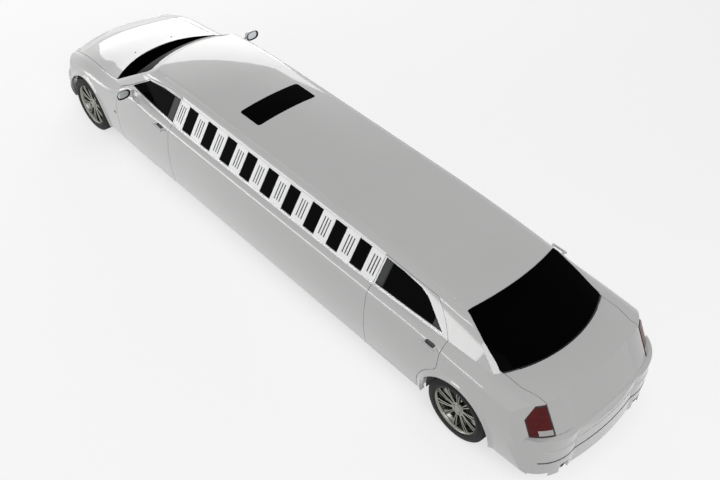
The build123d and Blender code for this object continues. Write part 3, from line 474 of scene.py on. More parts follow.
def shell_between(front, back):
    """Corners and quads of a closed thin body between two grids of one size."""
    rows, columns = front.shape[:2]
    count = rows * columns
    index = np.arange(count).reshape(rows, columns)
    rim = np.concatenate([index[0, :-1], index[:-1, -1], index[-1, :0:-1], index[:0:-1, 0]])
    ahead = np.roll(rim, -1)
    faces = grid_faces(rows, columns)
    sides = np.stack([rim, ahead, ahead + count, rim + count], axis=-1)
    corners = np.concatenate([front.reshape(-1, 3), back.reshape(-1, 3)])
    return corners, np.concatenate([faces, faces[:, ::-1] + count, sides])


def capped(grid):
    """The grid of a tube with each end row drawn in to its own middle, so that it closes."""
    first, last = (np.broadcast_to(row.mean(axis=0), row.shape)[None] for row in (grid[0], grid[-1]))
    return np.concatenate([first, grid, last])


def tube_part(grid):
    """Corners and quads of a tube grid with closed ends."""
    grid = capped(grid)
    return grid, grid_faces(grid.shape[0], grid.shape[1], round_columns=True)


def loop_part(grid):
    """Corners and quads of a section carried round a closed path."""
    return grid, grid_faces(*grid.shape[:2], round_rows=True, round_columns=True)


def square_ring(low, steps):
    """Points round the square from low to 1 on both axes, each side in even steps, without doubles."""
    edge = np.linspace(low, 1, steps)[:-1]
    back = low + 1 - edge
    return np.concatenate([np.stack([edge, low + 0 * edge], -1), np.stack([1 + 0 * edge, edge], -1),
                           np.stack([back, 1 + 0 * edge], -1), np.stack([low + 0 * edge, back], -1)])


def patch(name, front, depth, axis, side, material, body):
    """A closed thin piece: a front grid and the same grid set back along one axis, to the inside."""
    back = front.copy()
    back[..., axis] -= side * depth
    return piece_of(name, [shell_between(front, back)], material, body)


def piece_of(name, parts, material, body, replaces=()):
    """One mesh from (corners, quads) sets, with its doubles merged and its faces turned outwards."""
    piece = build_mesh(name, *join_grids(parts), material)
    outward_faces(piece)
    return placed(piece, body, replaces)


def bead_section(half_width, height):
    """A low half-round section of (out, side) rows, closed by a flat underside."""
    angle = np.linspace(0, math.pi, 7)
    arch = np.stack([height * np.sin(angle), half_width * np.cos(angle)], axis=-1)
    under = np.array([(-0.4 * height, -half_width), (-0.4 * height, half_width)])
    return np.concatenate([arch, under])


# Arch flares

ARCH_Z = 0.334
ARCH_R = 0.440
FLARE_REACH = 0.058
FLARE_HEIGHT = 0.022
FLARE_SWEEP = (-8.0, 188.0)
FLARE_PANELS = {"front": (FRONT_AXLE_Y, ("front_fender_{}", "front_bumper", "body_side_{}")),
                "rear": (REAR_AXLE_Y, ("quarter_panel_{}", "rear_bumper", "body_side_{}"))}


def flare_grid(y, sign, names):
    """Ring about the axle: X is the panel's own X plus a swell, and the ring's edge rolls in under the arch.

    With t from 0 at the arch to 1 outside, the swell is h (1 - t)^2 (1 + 2 t), which is level at both ends.
    """
    angle = np.radians(np.linspace(*FLARE_SWEEP, 113))
    t = np.array([0.0, 0.0, 0.012, 0.04, 0.09, 0.16, 0.25, 0.36, 0.48, 0.60, 0.72, 0.84, 0.93, 1.0, 1.0, 0.05, 0.03])
    lift = FLARE_HEIGHT * (1 - t) ** 2 * (1 + 2 * t) - 0.0008
    lift[:4] = (-0.020, FLARE_HEIGHT * 0.62, FLARE_HEIGHT * 0.88, FLARE_HEIGHT * 0.975)
    lift[-3:] = (-0.005, -0.005, -0.020)
    radius = ARCH_R - 0.003 + FLARE_REACH * t
    grid = np.zeros((len(angle), len(t), 3))
    grid[..., 1] = y + np.cos(angle)[:, None] * np.maximum(radius, ARCH_R + 0.004)
    grid[..., 2] = ARCH_Z + np.sin(angle)[:, None] * np.maximum(radius, ARCH_R + 0.004)
    skin = filled(landed(grid, names, 0, sign)[..., 0])
    grid[..., 0] = skin + sign * lift
    grid[..., 1] = y + np.cos(angle)[:, None] * radius
    grid[..., 2] = ARCH_Z + np.sin(angle)[:, None] * radius
    return grid


def make_flares(materials):
    """The rolled flare round each wheel arch."""
    for end, (y, panels) in FLARE_PANELS.items():
        parts = []
        for side, sign in SIDES.items():
            parts.append(tube_part(flare_grid(y, sign, [name.format(side) for name in panels])))
        piece_of(f"{end}_arch_flares", parts, materials["white_paint"], "root")


# Side walls: louvres, trim beside the glass, seals and mouldings

LOUVRE_CENTRES = np.array([-1.358, *(-1.0055 + 0.355 * np.arange(8)), 1.841])
LOUVRE_OFFSETS = np.array([-0.038, 0.0, 0.038])
LOUVRE_HALF = (0.0068, 0.0846)
LOUVRE_MID_Z = 1.216
WALL_LEAN = 1.185
WALL_TOP = (0.660, 1.348)
WALL_SLOPE = 0.636
GLASS_FOOT_Z = 1.094
GLASS_HEAD_Z = 1.338
DOOR_HEAD_Z = 1.3375


def wall_x(y, z, inset=0.0):
    """Half width of the greenhouse: a straight lean from the belt up, lowered by a parabola towards either end."""
    drop = 0.064 * np.clip(-1.1 - y, 0, None) ** 2 + 0.033 * np.clip(y - 1.5, 0, None) ** 2
    return WALL_TOP[0] + WALL_SLOPE * (WALL_TOP[1] - drop - z) - inset * WALL_LEAN


def make_louvres(materials):
    """A dark tray of painted shade in each slit: rings of four corners, down outside, over the rim and down to the
    inner floor.
    """
    rings = np.array([(0, 0, 0.0136), (1, 1, 0.0136), (1, 1, 0.0016), (0.86, 0.988, 0.0016),
                      (0.86, 0.988, 0.0124), (0, 0, 0.0124)])
    corners = np.array([(-1, -1), (1, -1), (1, 1), (-1, 1)])
    middle = (LOUVRE_CENTRES[:, None] + LOUVRE_OFFSETS[None]).ravel()
    for side, sign in SIDES.items():
        grid = np.empty((len(middle), len(rings), 4, 3))
        grid[..., 1] = middle[:, None, None] + LOUVRE_HALF[0] * rings[:, None, 0] * corners[None, :, 0]
        grid[..., 2] = LOUVRE_MID_Z + LOUVRE_HALF[1] * rings[:, None, 1] * corners[None, :, 1]
        grid[..., 0] = sign * (wall_x(grid[..., 1], grid[..., 2]) - WALL_LEAN * rings[None, :, None, 2])
        # dark grey liners: painted shade inside the slits
        piece_of(f"louvre_liners_{side}", [stack_tubes(grid)], materials["louvre_painted_shade"],
                 "root")


def wall_strip(sign, y, low, high, inset, rows=12):
    """Grid on the leaning wall between two edges given as z at each y."""
    t = np.linspace(0, 1, rows)[:, None]
    y, low, high = (np.asarray(a, float)[None] for a in (y, low, high))
    z = low + (high - low) * t
    y = y + 0 * t
    return np.stack([sign * wall_x(y, z, inset), y, z], axis=-1)


def make_wall_trim(materials):
    """Satin grey strips and corner plates that lie on the door glass beside its upright frames."""
    plates = {
        "front_door": [(np.linspace(-1.566, -1.4515, 6), GLASS_FOOT_Z, 1.337)],
        "rear_door": [(np.linspace(1.9435, 2.036, 5), GLASS_FOOT_Z, DOOR_HEAD_Z),
                      (np.linspace(2.683, 2.8105, 6), GLASS_FOOT_Z, np.linspace(1.1735, 1.0949, 6))],
    }
    for door, strips in plates.items():
        for side, sign in SIDES.items():
            parts = []
            for y, low, high in strips:
                low, high = low + 0 * y, high + 0 * y
                parts.append(shell_between(wall_strip(sign, y, low + 0.0005, high, 0.0012),
                                           wall_strip(sign, y, low + 0.0005, high, 0.0038)))
            piece_of(f"{door}_glass_trim_{side}", parts, materials["grey_trim"], f"{door}_{side}")


BELT_Z = 1.0835
WALL_OUT = np.array([0.843, 0.0, 0.537])
SPANS = {"front_door": (-2.372, -1.447), "body": (-1.424, 1.914), "rear_door": (1.936, 2.826)}
WINDOW_FIRST_Y = -1.267
WINDOW_PITCH = 0.355
WINDOW_WIDTH = 0.168
SIDE_WINDOWS = 9
SEAL_INSET = 0.0036
DOOR_WINDOWS = {
    "front_door": ((-1.450, 1.094), (-1.450, 1.338), (-1.800, 1.316), (-2.090, 1.272), (-2.108, 1.258),
                   (-2.362, 1.100), (-2.362, 1.094)),
    "rear_door": ((1.942, 1.094), (1.942, 1.338), (2.180, 1.330), (2.420, 1.306), (2.530, 1.270), (2.600, 1.226),
                  (2.812, 1.094)),
}


def sided(sign, points):
    """Points or directions of the left side, or their mirror images."""
    return np.asarray(points, float) * np.array([sign, 1, 1])


def along_outline(corners, spacing):
    """Points at even steps along straight lines between corners, round to the first again."""
    corners = np.asarray(corners, float)
    ahead = np.roll(corners, -1, axis=0)
    steps = np.maximum(2, np.ceil(np.linalg.norm(ahead - corners, axis=1) / spacing)).astype(int)
    return np.concatenate([a + (b - a) * np.linspace(0, 1, n, endpoint=False)[:, None]
                           for a, b, n in zip(corners, ahead, steps)])


def make_seals(materials):
    """Rubber seals in the step round each side pane: a half-round bead along the opening's edge."""
    section = bead_section(SEAL_INSET, 0.0030)
    for side, sign in SIDES.items():
        parts = []
        for index in range(SIDE_WINDOWS):
            y0 = WINDOW_FIRST_Y + index * WINDOW_PITCH
            y1 = y0 + WINDOW_WIDTH
            parts.append(seal_part(section, sign, ((y0, GLASS_FOOT_Z), (y1, GLASS_FOOT_Z), (y1, GLASS_HEAD_Z),
                                                    (y0, GLASS_HEAD_Z))))
        piece_of(f"side_window_seals_{side}", parts, materials["seal_rubber"], "root")
        for door, corners in DOOR_WINDOWS.items():
            piece_of(f"{door}_window_seal_{side}", [seal_part(section, sign, corners)], materials["seal_rubber"],
                     f"{door}_{side}")


def seal_part(section, sign, corners):
    """Bead round one opening, drawn in from its edge and laid on the pane."""
    corners = np.asarray(corners, float)
    middle = corners.mean(axis=0)
    reach = corners - middle
    inside = middle + reach * (1 - SEAL_INSET / np.maximum(np.abs(reach), 0.02))
    flat = along_outline(inside, 0.04)
    path = np.stack([sign * wall_x(flat[:, 0], flat[:, 1], SEAL_INSET), flat[:, 0], flat[:, 1]], axis=-1)
    return loop_part(carried(section, path, sided(sign, WALL_OUT), closed=True))


def make_mouldings(materials):
    """Bright belt moulding under the windows and painted ditch moulding along the roof, each a bead on a path."""
    section = bead_section(0.0048, 0.0034)
    for side, sign in SIDES.items():
        for name, (y0, y1) in SPANS.items():
            y = np.linspace(y0, y1, max(12, int((y1 - y0) / 0.08)))
            path = np.stack([sign * wall_x(y, BELT_Z), y, BELT_Z + 0 * y], axis=-1)
            body = "root" if name == "body" else f"{name}_{side}"
            piece_of(f"{name}_belt_moulding_{side}", [tube_part(carried(section, path, sided(sign, WALL_OUT)))],
                     materials["chrome"], body)
        y = np.linspace(-1.86, 2.78, 90)
        rail = np.stack([sign * 0.589 + 0 * y, y, 0 * y], axis=-1)
        rail = landed(rail, ["roof"], 2, 1)
        piece_of(f"roof_ditch_moulding_{side}",
                 [tube_part(carried(bead_section(0.0070, 0.0028), rail, sided(sign, (0.42, 0, 0.91))))],
                 materials["white_paint"], "root")


# Windshield painted reflection, seal and washer jets

PAINTED_REFLECTION_TOP_Y = -2.425
TOP_SEAL_Y = -2.236
GLASS_FOOT_Y = -2.98


def masked_sheet(name, grid, material, thickness):
    """An open sheet of the quads whose corners all landed, given a wall by Solidify."""
    rows, columns = grid.shape[:2]
    faces = grid_faces(rows, columns)
    known = np.isfinite(grid.reshape(-1, 3)).all(axis=1)
    faces = faces[known[faces].all(axis=1)]
    used, back = np.unique(faces, return_inverse=True)
    piece = build_mesh(name, grid.reshape(-1, 3)[used], back.reshape(-1, 4), material)
    wall = piece.modifiers.new("wall", "SOLIDIFY")
    wall.thickness = thickness
    wall.offset = 1.0
    return piece


def make_windshield_parts(materials):
    """Near black sheet of painted dark reflection over the lower glass, which follows the pane, and the rubber seal
    along its top.
    """
    x = np.linspace(-0.735, 0.735, 148)
    t = np.linspace(0, 1, 44)
    top = PAINTED_REFLECTION_TOP_Y - 0.03 * (x / 0.7) ** 2
    grid = np.zeros((len(t), len(x), 3))
    grid[..., 0] = x
    grid[..., 1] = GLASS_FOOT_Y + (top - GLASS_FOOT_Y)[None] * t[:, None]
    grid = landed(grid, ["windshield"], 2, 1)
    over = landed(grid, ["roof"], 2, 1)[..., 2]
    grid[..., 2] = np.where(over > grid[..., 2], np.nan, grid[..., 2] + 0.0004)
    # near black sheet: painted dark reflection over the lower windshield
    dark_reflection_sheet = masked_sheet("windshield_painted_dark_reflection", grid, materials["painted_dark_reflection"], 0.0006)
    placed(dark_reflection_sheet, "root")
    x = np.linspace(-0.60, 0.60, 60)
    path = np.stack([x, TOP_SEAL_Y - 0.012 * (x / 0.6) ** 2, 0 * x], axis=-1)
    path = landed(path, ["windshield"], 2, 1)
    path = path[np.isfinite(path).all(axis=1)]
    piece_of("windshield_top_seal", [tube_part(carried(bead_section(0.0055, 0.0035), path, (0, -0.45, 0.89)))],
             materials["seal_rubber"], "root")


def make_washer_jets(materials):
    """Two small black jets on the hood: a low dome turned about an upright line, with a flat foot."""
    rows = np.array([(0.0, -0.004), (0.0085, -0.004), (0.0090, 0.0), (0.0086, 0.0022), (0.0060, 0.0052),
                     (0.0032, 0.0060), (0.0, 0.0062)])
    places = landed(np.array([[-0.285, -3.115, 0.0], [0.26, -3.115, 0.0]]), ["hood"], 2, 1)
    dome = np.roll(turned(rows[:, ::-1], (0, 0, 0), 20), -1, axis=2).transpose(1, 0, 2)
    piece_of("washer_jets", [stack_tubes(dome[None] + places[:, None, None])],
             materials["black_plastic"], "hood")


# Door mirrors, handles and side markers

MIRROR_AT = np.array([0.956, -2.252, 1.116])
MIRROR_HALF = (0.090, 0.060)
MIRROR_DEPTH = 0.092
MIRROR_POWER = 2.7


def rounded_ring(scale, y):
    """Ring of a superellipse about the mirror's middle, in the upright plane at y: |x/a|^n + |z/b|^n = scale^n."""
    c, s = circle(56).T
    reach = (np.abs(c) ** MIRROR_POWER + np.abs(s) ** MIRROR_POWER) ** (-1 / MIRROR_POWER)
    return np.stack([MIRROR_AT[0] + MIRROR_HALF[0] * scale * reach * c, y + 0 * c,
                     MIRROR_AT[2] + MIRROR_HALF[1] * scale * reach * s], axis=-1)


def make_mirrors(materials):
    """Door mirror: a bowed pod, its black rim and glass, and a neck that swells into the door."""
    bow = np.linspace(0, math.pi / 2, 13)
    pod = [(math.sin(a) ** 0.8, MIRROR_AT[1] - MIRROR_DEPTH * math.cos(a)) for a in bow]
    pod += [(0.985, -2.249), (0.90, -2.249), (0.88, -2.262), (0.0, -2.262)]
    rim = [(0.90, -2.2535), (0.978, -2.2495), (0.985, -2.2465), (0.955, -2.2440), (0.905, -2.2445), (0.885, -2.2475),
           (0.885, -2.2535)]
    glass = [(0.0, -2.2560), (0.895, -2.2560), (0.895, -2.2525), (0.60, -2.2518), (0.0, -2.2514)]
    t = np.linspace(0, 1, 8)
    path = np.stack([0.800 + 0.100 * t, -2.305 + 0 * t, 1.076 + 0.016 * t], axis=-1)
    reach = np.stack([0.030 - 0.012 * np.sin(t * math.pi), 0.015 - 0.003 * np.sin(t * math.pi)], axis=-1)
    neck = np.repeat(path[:, None], 20, axis=1)
    neck[..., 1:] += reach[:, None] * circle(20)
    for side, sign in SIDES.items():
        body = f"front_door_{side}"
        shell, lip, pane = (sided(sign, np.array([rounded_ring(s, y) for s, y in rows])) for rows in (pod, rim, glass))
        pod_part = (shell, grid_faces(*shell.shape[:2], round_columns=True))
        piece_of(f"mirror_pod_{side}", [pod_part, tube_part(sided(sign, neck))], materials["white_paint"], body,
                 [f"mirror_{side}"])
        piece_of(f"mirror_rim_{side}", [loop_part(lip)], materials["black_plastic"], body)
        piece_of(f"mirror_glass_{side}", [(pane, grid_faces(*pane.shape[:2], round_columns=True))],
                 materials["mirror_glass"], body)


HANDLES = {"front_door": (-1.690, -1.506), "rear_door": (2.686, 2.866)}
HANDLE_Z = 1.000
CUP_HALF_Z = 0.021
CUP_END_GAP = 0.026
SKIN_REACH = 0.030


def make_handle_cups(materials):
    """Painted shade in the finger cup behind each handle: a dark grey oval plate on the line between the skin above
    and below it.
    """
    u = np.linspace(-1, 1, 25)
    v = np.linspace(-1, 1, 7)
    for door, (y0, y1) in HANDLES.items():
        for side, sign in SIDES.items():
            y = (y0 + y1) / 2 + ((y1 - y0) / 2 - CUP_END_GAP) * u
            half = CUP_HALF_Z * np.sqrt(np.clip(1 - u ** 4, 0.02, 1))
            ends = np.array([[(0, py, z) for py in y] for z in (HANDLE_Z - SKIN_REACH, HANDLE_Z + SKIN_REACH)])
            below, above = landed(ends, [f"{door}_{side}"], 0, sign)[..., 0]
            z = HANDLE_Z + v[:, None] * half
            share = (z - HANDLE_Z + SKIN_REACH) / (2 * SKIN_REACH)
            x = below + (above - below) * share + sign * 0.0060 * (1 - (2 * share - 1) ** 2) + sign * 0.0012
            grid = np.stack([x, y + 0 * z, z], axis=-1)
            # dark grey plate: painted shade in the cup behind the handle
            patch(f"{door}_handle_cup_{side}", grid, 0.004, 0, sign, materials["cup_shadow"], f"{door}_{side}")


def make_side_markers(materials):
    """Small amber lamps on the fenders: a plate on the skin that swells by (1 - u^6)(1 - v^6)."""
    u, v = np.meshgrid(np.linspace(-1, 1, 17), np.linspace(-1, 1, 11), indexing="ij")
    for side, sign in SIDES.items():
        grid = np.stack([0 * u, -2.622 + 0.026 * u, 0.655 + 0.013 * v], axis=-1)
        grid = landed(grid, [f"front_fender_{side}"], 0, sign)
        grid[..., 0] += sign * (0.0005 + 0.0040 * (1 - u ** 6) * (1 - v ** 6))
        patch(f"side_marker_{side}", grid, 0.003, 0, sign, materials["amber_lamp"], "root")


# Seats

CUSHION_STEPS = 49
PIPING_R = 0.0040
SIDE_PULL = 0.010
SEAM_WIDTH = 0.0065
SEAM_DEPTH = 0.0065


def cushion_plan(u, v, half):
    """Plan of a cushion: sides drawn in by SIDE_PULL, corners by 11 % times u^4 v^4, so that they are round."""
    corner = 1 - 0.11 * u ** 4 * v ** 4
    return (half[0] * u * corner * (1 - SIDE_PULL * (1 - v ** 4)),
            half[1] * v * corner * (1 - SIDE_PULL * (1 - u ** 4)))


def cushion_parts(middle, half, turn_deg=0.0, channels=3, bolster=0.0):
    """A closed leather cushion and its piping.

    On a square of u and v from -1 to 1 its height over the rim is ((1 - u^8)(1 - v^8))^0.4, both up and down.
    Sewn channels are narrow bell-shaped dents along v, bolsters lift the sides, and each side is drawn in
    between its corners by SIDE_PULL times 1 - v^4. The whole is then tipped about the X line through its middle.
    """
    s = np.sin(np.linspace(-1, 1, CUSHION_STEPS) * math.pi / 2)
    u, v = np.meshgrid(s, s, indexing="ij")
    swell = (np.clip(1 - u ** 8, 0, 1) * np.clip(1 - v ** 8, 0, 1)) ** 0.4
    x, y = cushion_plan(u, v, half)
    lift = 1.0 + 0.10 * (1 - u ** 2) * (1 - v ** 2)
    seam = np.zeros_like(u)
    for place in np.linspace(-0.5, 0.5, channels):
        seam += np.exp(-((u - place) * half[0] / SEAM_WIDTH) ** 2)
    dent = SEAM_DEPTH * seam * (1 - np.abs(v) ** 6)
    side = np.clip((np.abs(u) - 0.60) / 0.22, 0, 1)
    rise = bolster * side * side * (3 - 2 * side) * np.clip((1 - np.abs(u)) / 0.12, 0, 1) ** 0.5
    top = np.stack([x, y, half[2] * swell * lift / 1.10 - dent * swell + rise * swell], axis=-1)
    under = np.stack([x, y, -half[2] * swell], axis=-1)
    ring_u, ring_v = square_ring(-1, 33).T
    path = np.stack([*cushion_plan(ring_u, ring_v, half), 0 * ring_u], axis=-1)
    piping = carried(PIPING_R * circle(8), path, (0, 0, 1), closed=True)
    tip = math.radians(turn_deg)
    turn = np.array([(1, 0, 0), (0, math.cos(tip), -math.sin(tip)), (0, math.sin(tip), math.cos(tip))])
    return [(points.reshape(-1, 3) @ turn.T + np.asarray(middle), faces)
            for points, faces in (shell_between(top, under), loop_part(piping))]


def sideways_parts(parts, about):
    """The same cushion parts turned a quarter round the upright line through a point."""
    about = np.asarray(about, float)
    quarter = np.array([(0, -1, 0), (1, 0, 0), (0, 0, 1)])
    return [((np.asarray(points) - about) @ quarter.T + about, faces) for points, faces in parts]


def slab_part(x, y, z):
    """A plinth with rounded edges: rings of a rounded rectangle from the floor up, drawn in at both rims."""
    low, high = np.array([x, y]).T
    middle, half = (low + high) / 2, (high - low) / 2
    turn = np.arange(48) * math.pi / 24 + math.pi / 48
    c, s = np.cos(turn), np.sin(turn)
    reach = np.stack([np.sign(c) * np.abs(c) ** 0.22, np.sign(s) * np.abs(s) ** 0.22], axis=-1)
    rings = [(EDGE_ROUND, z[0]), (0, z[0] + 0.6 * EDGE_ROUND), (0, z[1] - 0.6 * EDGE_ROUND), (EDGE_ROUND, z[1])]
    grid = np.stack([np.concatenate([middle + reach * (half - inset), np.full((48, 1), level)], axis=1)
                     for inset, level in rings])
    return tube_part(grid)


FRONT_SEAT_X = 0.400
POST_HALF_GAP = 0.045
POST_R = 0.006
CABIN_FLOOR_Z = 0.2625
EDGE_ROUND = 0.012
LOUNGE_Y = (-1.15, 1.70)
LOUNGE_PADS = 5
REAR_HALF_X = 0.69
REAR_PADS = 3


def pad_middles(low, high, count):
    """Middles of equal cushions side by side between two ends."""
    return np.linspace(low, high, 2 * count + 1)[1::2]


def leather_piece(name, parts, materials, node):
    """Padded leather on the cabin floor in place of a plain seat."""
    piece = piece_of(name, parts, materials["black_leather"], "root", [node])


def make_seats(materials):
    """Bolstered front seats, and the lounge's side and rear benches in separate cushions on plinths."""
    pads, frames = [], []
    for sign in (1, -1):
        x = sign * FRONT_SEAT_X
        pads += cushion_parts((x, -1.803, 0.412), (0.252, 0.222, 0.062), turn_deg=2, bolster=0.018)
        pads += cushion_parts((x, -1.548, 0.735), (0.236, 0.268, 0.050), turn_deg=79.5)
        pads += cushion_parts((x, -1.412, 1.125), (0.115, 0.062, 0.036), turn_deg=82, channels=0)
        frames.append(slab_part((x - 0.195, x + 0.195), (-1.965, -1.625), (CABIN_FLOOR_Z, 0.352)))
        for offset in (-POST_HALF_GAP, POST_HALF_GAP):
            post = np.array([(x + offset, -1.452, 0.955), (x + offset, -1.430, 1.085)])
            post = np.repeat(post[:, None], 12, axis=1)
            post[..., :2] += POST_R * circle(12)
            frames.append(tube_part(post))
    leather_piece("front_seat_leather", pads, materials, "front_seats")
    piece_of("front_seat_frames", frames, materials["black_plastic"], "root")
    pads = []
    frames = [slab_part((-0.690, -0.260), (-1.140, 1.690), (CABIN_FLOOR_Z, 0.345)),
              slab_part((-0.690, 0.690), (2.060, 2.560), (CABIN_FLOOR_Z, 0.345))]
    for y in pad_middles(*LOUNGE_Y, LOUNGE_PADS):
        seat = (-0.462, y, 0.392)
        pads += sideways_parts(cushion_parts(seat, (0.279, 0.226, 0.050), channels=2), seat)
        back = (-0.680, y, 0.672)
        flat = cushion_parts(back, (0.279, 0.222, 0.046), turn_deg=90, channels=2)
        pads += sideways_parts(flat, back)
    for x in pad_middles(-REAR_HALF_X, REAR_HALF_X, REAR_PADS):
        pads += cushion_parts((x, 2.310, 0.392), (0.226, 0.262, 0.050), channels=2)
        pads += cushion_parts((x, 2.654, 0.705), (0.226, 0.250, 0.046), turn_deg=75, channels=2)
    leather_piece("lounge_bench_leather", pads, materials, "lounge_seats")
    piece_of("lounge_bench_plinths", frames, materials["black_plastic"], "root")


# Lamps

LAMP_IN_X = 0.664
LAMP_Z = (0.7425, 1.0295)
LAMP_MARGIN = 0.003


def lamp_place(u, v, stand, edges):
    """Points on the tail lamp's own face at shares u across and v up, standing off it by stand."""
    z = LAMP_Z[0] + (LAMP_Z[1] - LAMP_Z[0]) * np.asarray(v, float)
    outer = np.interp(z, edges[0], edges[1])
    grid = np.stack([LAMP_IN_X + (outer - LAMP_IN_X) * u, 0 * z, z], axis=-1)
    grid = landed(grid, ["tail_lamps"], 1, 1)
    grid[..., 1] = filled(grid[..., 1])
    lean = np.asarray(u, float) ** 2
    grid[..., 0] += 0.75 * stand * lean
    grid[..., 1] += stand * (1 - 0.35 * lean)
    return grid


def lamp_edges():
    """Half width of the tail lamp's face at each height, from where its face ends."""
    z = np.linspace(*LAMP_Z, 30)
    x = np.linspace(0.70, 0.87, 171)
    across, up = np.meshgrid(x, z)
    known = np.isfinite(landed(np.stack([across, 0 * across, up], axis=-1), ["tail_lamps"], 1, 1)[..., 1])
    return z, x[len(x) - 1 - known[:, ::-1].argmax(axis=1)] - LAMP_MARGIN


def lamp_ring(ring, inset, stand, edges):
    """A closed row round the tail lamp's face, drawn in by a share of it."""
    shares = 0.5 + (ring - 0.5) * (1 - 2 * inset)
    return lamp_place(shares[:, :1], shares[:, 1:], stand, edges)[:, 0]


def make_tail_lamps(materials):
    """Red lens in round-topped cells, its dark rim and the clear reflector low on its inner side.

    The lens stands off by a base swell plus |sin| waves across and up, which make the rows of moulded cells.
    """
    edges = lamp_edges()
    s = np.linspace(0.028, 0.972, 57)
    u, v = np.meshgrid(s, s, indexing="ij")
    cells = 0.0016 * np.abs(np.sin(u * 4 * math.pi)) ** 0.7 * np.abs(np.sin(v * 5 * math.pi)) ** 0.7
    lens = lamp_place(u, v, 0.0022 + cells, edges)
    strip_u, strip_v = np.meshgrid(np.linspace(0.05, 0.66, 41), np.linspace(0.045, 0.215, 13), indexing="ij")
    clear = lamp_place(strip_u, strip_v, 0.0048 + 0.0010 * np.abs(np.sin(strip_u * 12 * math.pi)), edges)
    ring = square_ring(0, 41)
    columns = [(0.0, -0.002), (0.0, 0.0040), (0.030, 0.0052), (0.040, 0.0040), (0.040, -0.002)]
    rim = np.stack([lamp_ring(ring, inset, stand, edges) for inset, stand in columns], axis=1)
    for side, sign in SIDES.items():
        patch(f"tail_lamp_lens_{side}", sided(sign, lens), 0.003, 1, 1, materials["red_lens"], "root")
        patch(f"tail_lamp_reflector_{side}", sided(sign, clear), 0.002, 1, 1, materials["clear_reflector"], "root")
        piece_of(f"tail_lamp_rim_{side}", [loop_part(sided(sign, rim))], materials["black_plastic"], "root")


# Headlamps, bumper lines and exhaust tips

HEADLAMP_X = (0.430, 0.790)
HEADLAMP_Z = (0.566, 0.670)
HEADLAMP_FLUTES = 14


def make_headlamps(materials):
    """Fluted lenses: |sin| ridges along x over each lamp's own face, which die out towards its top and foot."""
    u, v = np.meshgrid(np.linspace(0, 1, 49), np.linspace(0, 1, 15), indexing="ij")
    grid = np.stack([HEADLAMP_X[0] + (HEADLAMP_X[1] - HEADLAMP_X[0]) * u, 0 * u,
                     HEADLAMP_Z[0] + (HEADLAMP_Z[1] - HEADLAMP_Z[0]) * v], axis=-1)
    grid = landed(grid, ["headlamps"], 1, -1)
    flutes = 0.0012 * np.abs(np.sin(u * HEADLAMP_FLUTES * math.pi)) * (1 - (2 * v - 1) ** 6)
    grid[..., 1] = filled(grid[..., 1]) - 0.0015 - flutes
    for side, sign in SIDES.items():
        patch(f"headlamp_lens_{side}", sided(sign, grid), 0.002, 1, -1, materials["clear_reflector"], "root")


TIP_AT = ((0.540, 0.250), (-0.540, 0.250))
TIP_Y = (4.060, 4.176)
BUMPER_LINES = (("rear_bumper_step_pad", 0.560, 0.012, 0.0050, "white_paint", "white_paint"),
                ("rear_bumper_joint_strip", 0.404, 0.009, 0.0030, "grey_trim", "black_plastic"))


def make_exhaust_tips(materials):
    """Rolled tips: a profile of (along, radius) turned round each pipe's end."""
    profile = [(TIP_Y[0], 0.0370), (TIP_Y[1] - 0.006, 0.0375), (TIP_Y[1] - 0.002, 0.0385), (TIP_Y[1], 0.0372),
               (TIP_Y[1] - 0.001, 0.0345), (TIP_Y[1] - 0.010, 0.0328), (TIP_Y[1] - 0.060, 0.0325)]
    ring = np.roll(turned(profile, (0, 0, 0), 40), 1, axis=2).transpose(1, 0, 2)
    tips = [tube_part(ring + (x, 0, z)) for x, z in TIP_AT]
    piece_of("exhaust_tips", tips, materials["chrome"], "root")


def make_rear_bumper_lines(materials):
    """The rear bumper's shelf step and the dark joint under it, carried along the bumper's own face."""
    x = np.linspace(-0.80, 0.80, 97)
    for name, level, half, height, finish, slot in BUMPER_LINES:
        path = landed(np.stack([x, 0 * x, 0 * x + level], axis=-1)[:, None], ["rear_bumper"], 1, 1)
        path[..., 1] = filled(path[..., 1])
        section = bead_section(half, height)
        piece_of(name, [tube_part(carried(section, path[:, 0], (0, 1, 0)))], materials[finish], "root")


# Stage

def set_camera():
    """The photograph's view."""
    data = bpy.data.cameras.new("photo_camera")
    data.sensor_width = SENSOR_MM
    data.sensor_fit = "HORIZONTAL"
    data.lens = FOCAL_PX / PHOTO_WIDTH_PX * SENSOR_MM
    camera = bpy.data.objects.new("photo_camera", data)
    bpy.context.scene.collection.objects.link(camera)
    ahead = Vector((math.sin(CAMERA_HEADING) * math.cos(CAMERA_DOWN),
                    math.cos(CAMERA_HEADING) * math.cos(CAMERA_DOWN), -math.sin(CAMERA_DOWN)))
    right = ahead.cross(Vector((0, 0, 1))).normalized()
    up = right.cross(ahead)
    turn = Matrix.Rotation(CAMERA_ROLL, 3, -ahead)
    right, up = turn @ right, turn @ up
    basis = Matrix((right, up, -ahead)).transposed()
    camera.matrix_world = Matrix.Translation(CAMERA_AT) @ basis.to_4x4()
    bpy.context.scene.camera = camera


def area_light(name, at, aim, size, radiance):
    """A soft studio panel (width, height) at a point, aimed at another; its power is radiance times pi and area."""
    data = bpy.data.lights.new(name, "AREA")
    data.shape = "RECTANGLE"
    data.size, data.size_y = size
    data.energy = radiance * math.pi * size[0] * size[1]
    lamp = bpy.data.objects.new(name, data)
    lamp.location = at
    lamp.rotation_euler = (Vector(aim) - Vector(at)).to_track_quat("-Z", "Y").to_euler()
    bpy.context.scene.collection.objects.link(lamp)


SKY_LEVEL = 0.25
FRONT_RADIANCE = 2.1
SIDE_RADIANCE = 3.2
REAR_RADIANCE = 2.4
BACKDROP_LEVEL = 0.93
FLOOR_GLOW = 0.66
FLOOR_HALF = 120.0


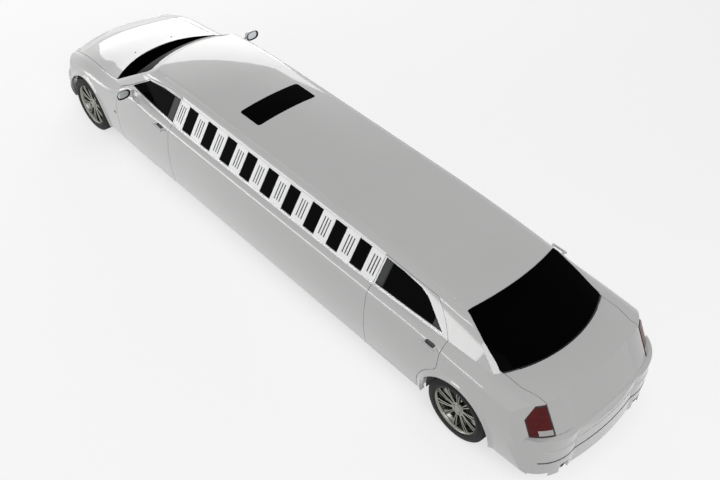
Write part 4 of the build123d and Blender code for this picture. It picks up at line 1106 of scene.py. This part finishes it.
def seen_ray(tree):
    """1 where a ray comes from the camera, from a reflection or through glass, and 0 elsewhere."""
    path = add(tree, "LightPath")
    some = add(tree, "Math", links={0: path.outputs["Is Camera Ray"], 1: path.outputs["Is Glossy Ray"]},
               operation="MAXIMUM")
    return add(tree, "Math", links={0: some.outputs[0], 1: path.outputs["Is Transmission Ray"]},
               operation="MAXIMUM")


def set_stage():
    """Pale floor and white surroundings that also show in reflections, with soft studio light."""
    world = bpy.data.worlds.new("studio")
    world.use_nodes = True
    tree = world.node_tree
    tree.nodes.clear()
    level = add(tree, "MapRange", {"To Min": SKY_LEVEL, "To Max": BACKDROP_LEVEL},
                {"Value": seen_ray(tree).outputs[0]})
    glow = add(tree, "Background", {"Color": (1, 1, 1, 1)}, {"Strength": level.outputs[0]})
    add(tree, "OutputWorld", links={"Surface": glow.outputs[0]})
    bpy.context.scene.world = world
    half = FLOOR_HALF
    mesh = bpy.data.meshes.new("floor")
    mesh.from_pydata([(-half, -half, 0), (half, -half, 0), (half, half, 0), (-half, half, 0)], [], [(0, 1, 2, 3)])
    floor = bpy.data.objects.new("floor", mesh)
    bpy.context.scene.collection.objects.link(floor)
    material = new_material("matt_white_floor")
    tree = material.node_tree
    matt = add(tree, "BsdfDiffuse", {"Color": linear("CFCFCF")})
    strength = add(tree, "Math", {1: FLOOR_GLOW}, {0: seen_ray(tree).outputs[0]}, operation="MULTIPLY")
    lit = add(tree, "Emission", {"Color": (1, 1, 1, 1)}, {"Strength": strength.outputs[0]})
    both = add(tree, "AddShader", links={0: matt.outputs[0], 1: lit.outputs[0]})
    mesh.materials.append(finish_material(material, both))
    area_light("front_panel", (-6.6, -12.2, 4.1), (0, -2.9, 1.0), (9.0, 6.4), FRONT_RADIANCE)
    area_light("side_strip", (9.6, -6.2, 2.6), (0.7, 0.0, 1.2), (14.0, 1.7), SIDE_RADIANCE)
    area_light("rear_softbox", (3.0, 9.0, 9.0), (0, 3.0, 1.0), (5.0, 5.0), REAR_RADIANCE)


def main():
    """Builds the whole picture."""
    bpy.context.scene.view_settings.view_transform = "Standard"
    materials = make_materials()
    dress_nodes(materials)
    for make in (make_tyres, make_wheels, make_flares, make_louvres, make_wall_trim, make_seals,
                 make_mouldings, make_windshield_parts, make_washer_jets, make_mirrors, make_handle_cups,
                 make_side_markers, make_seats, make_tail_lamps, make_headlamps, make_exhaust_tips,
                 make_rear_bumper_lines):
        make(materials)
    set_stage()
    set_camera()


main()
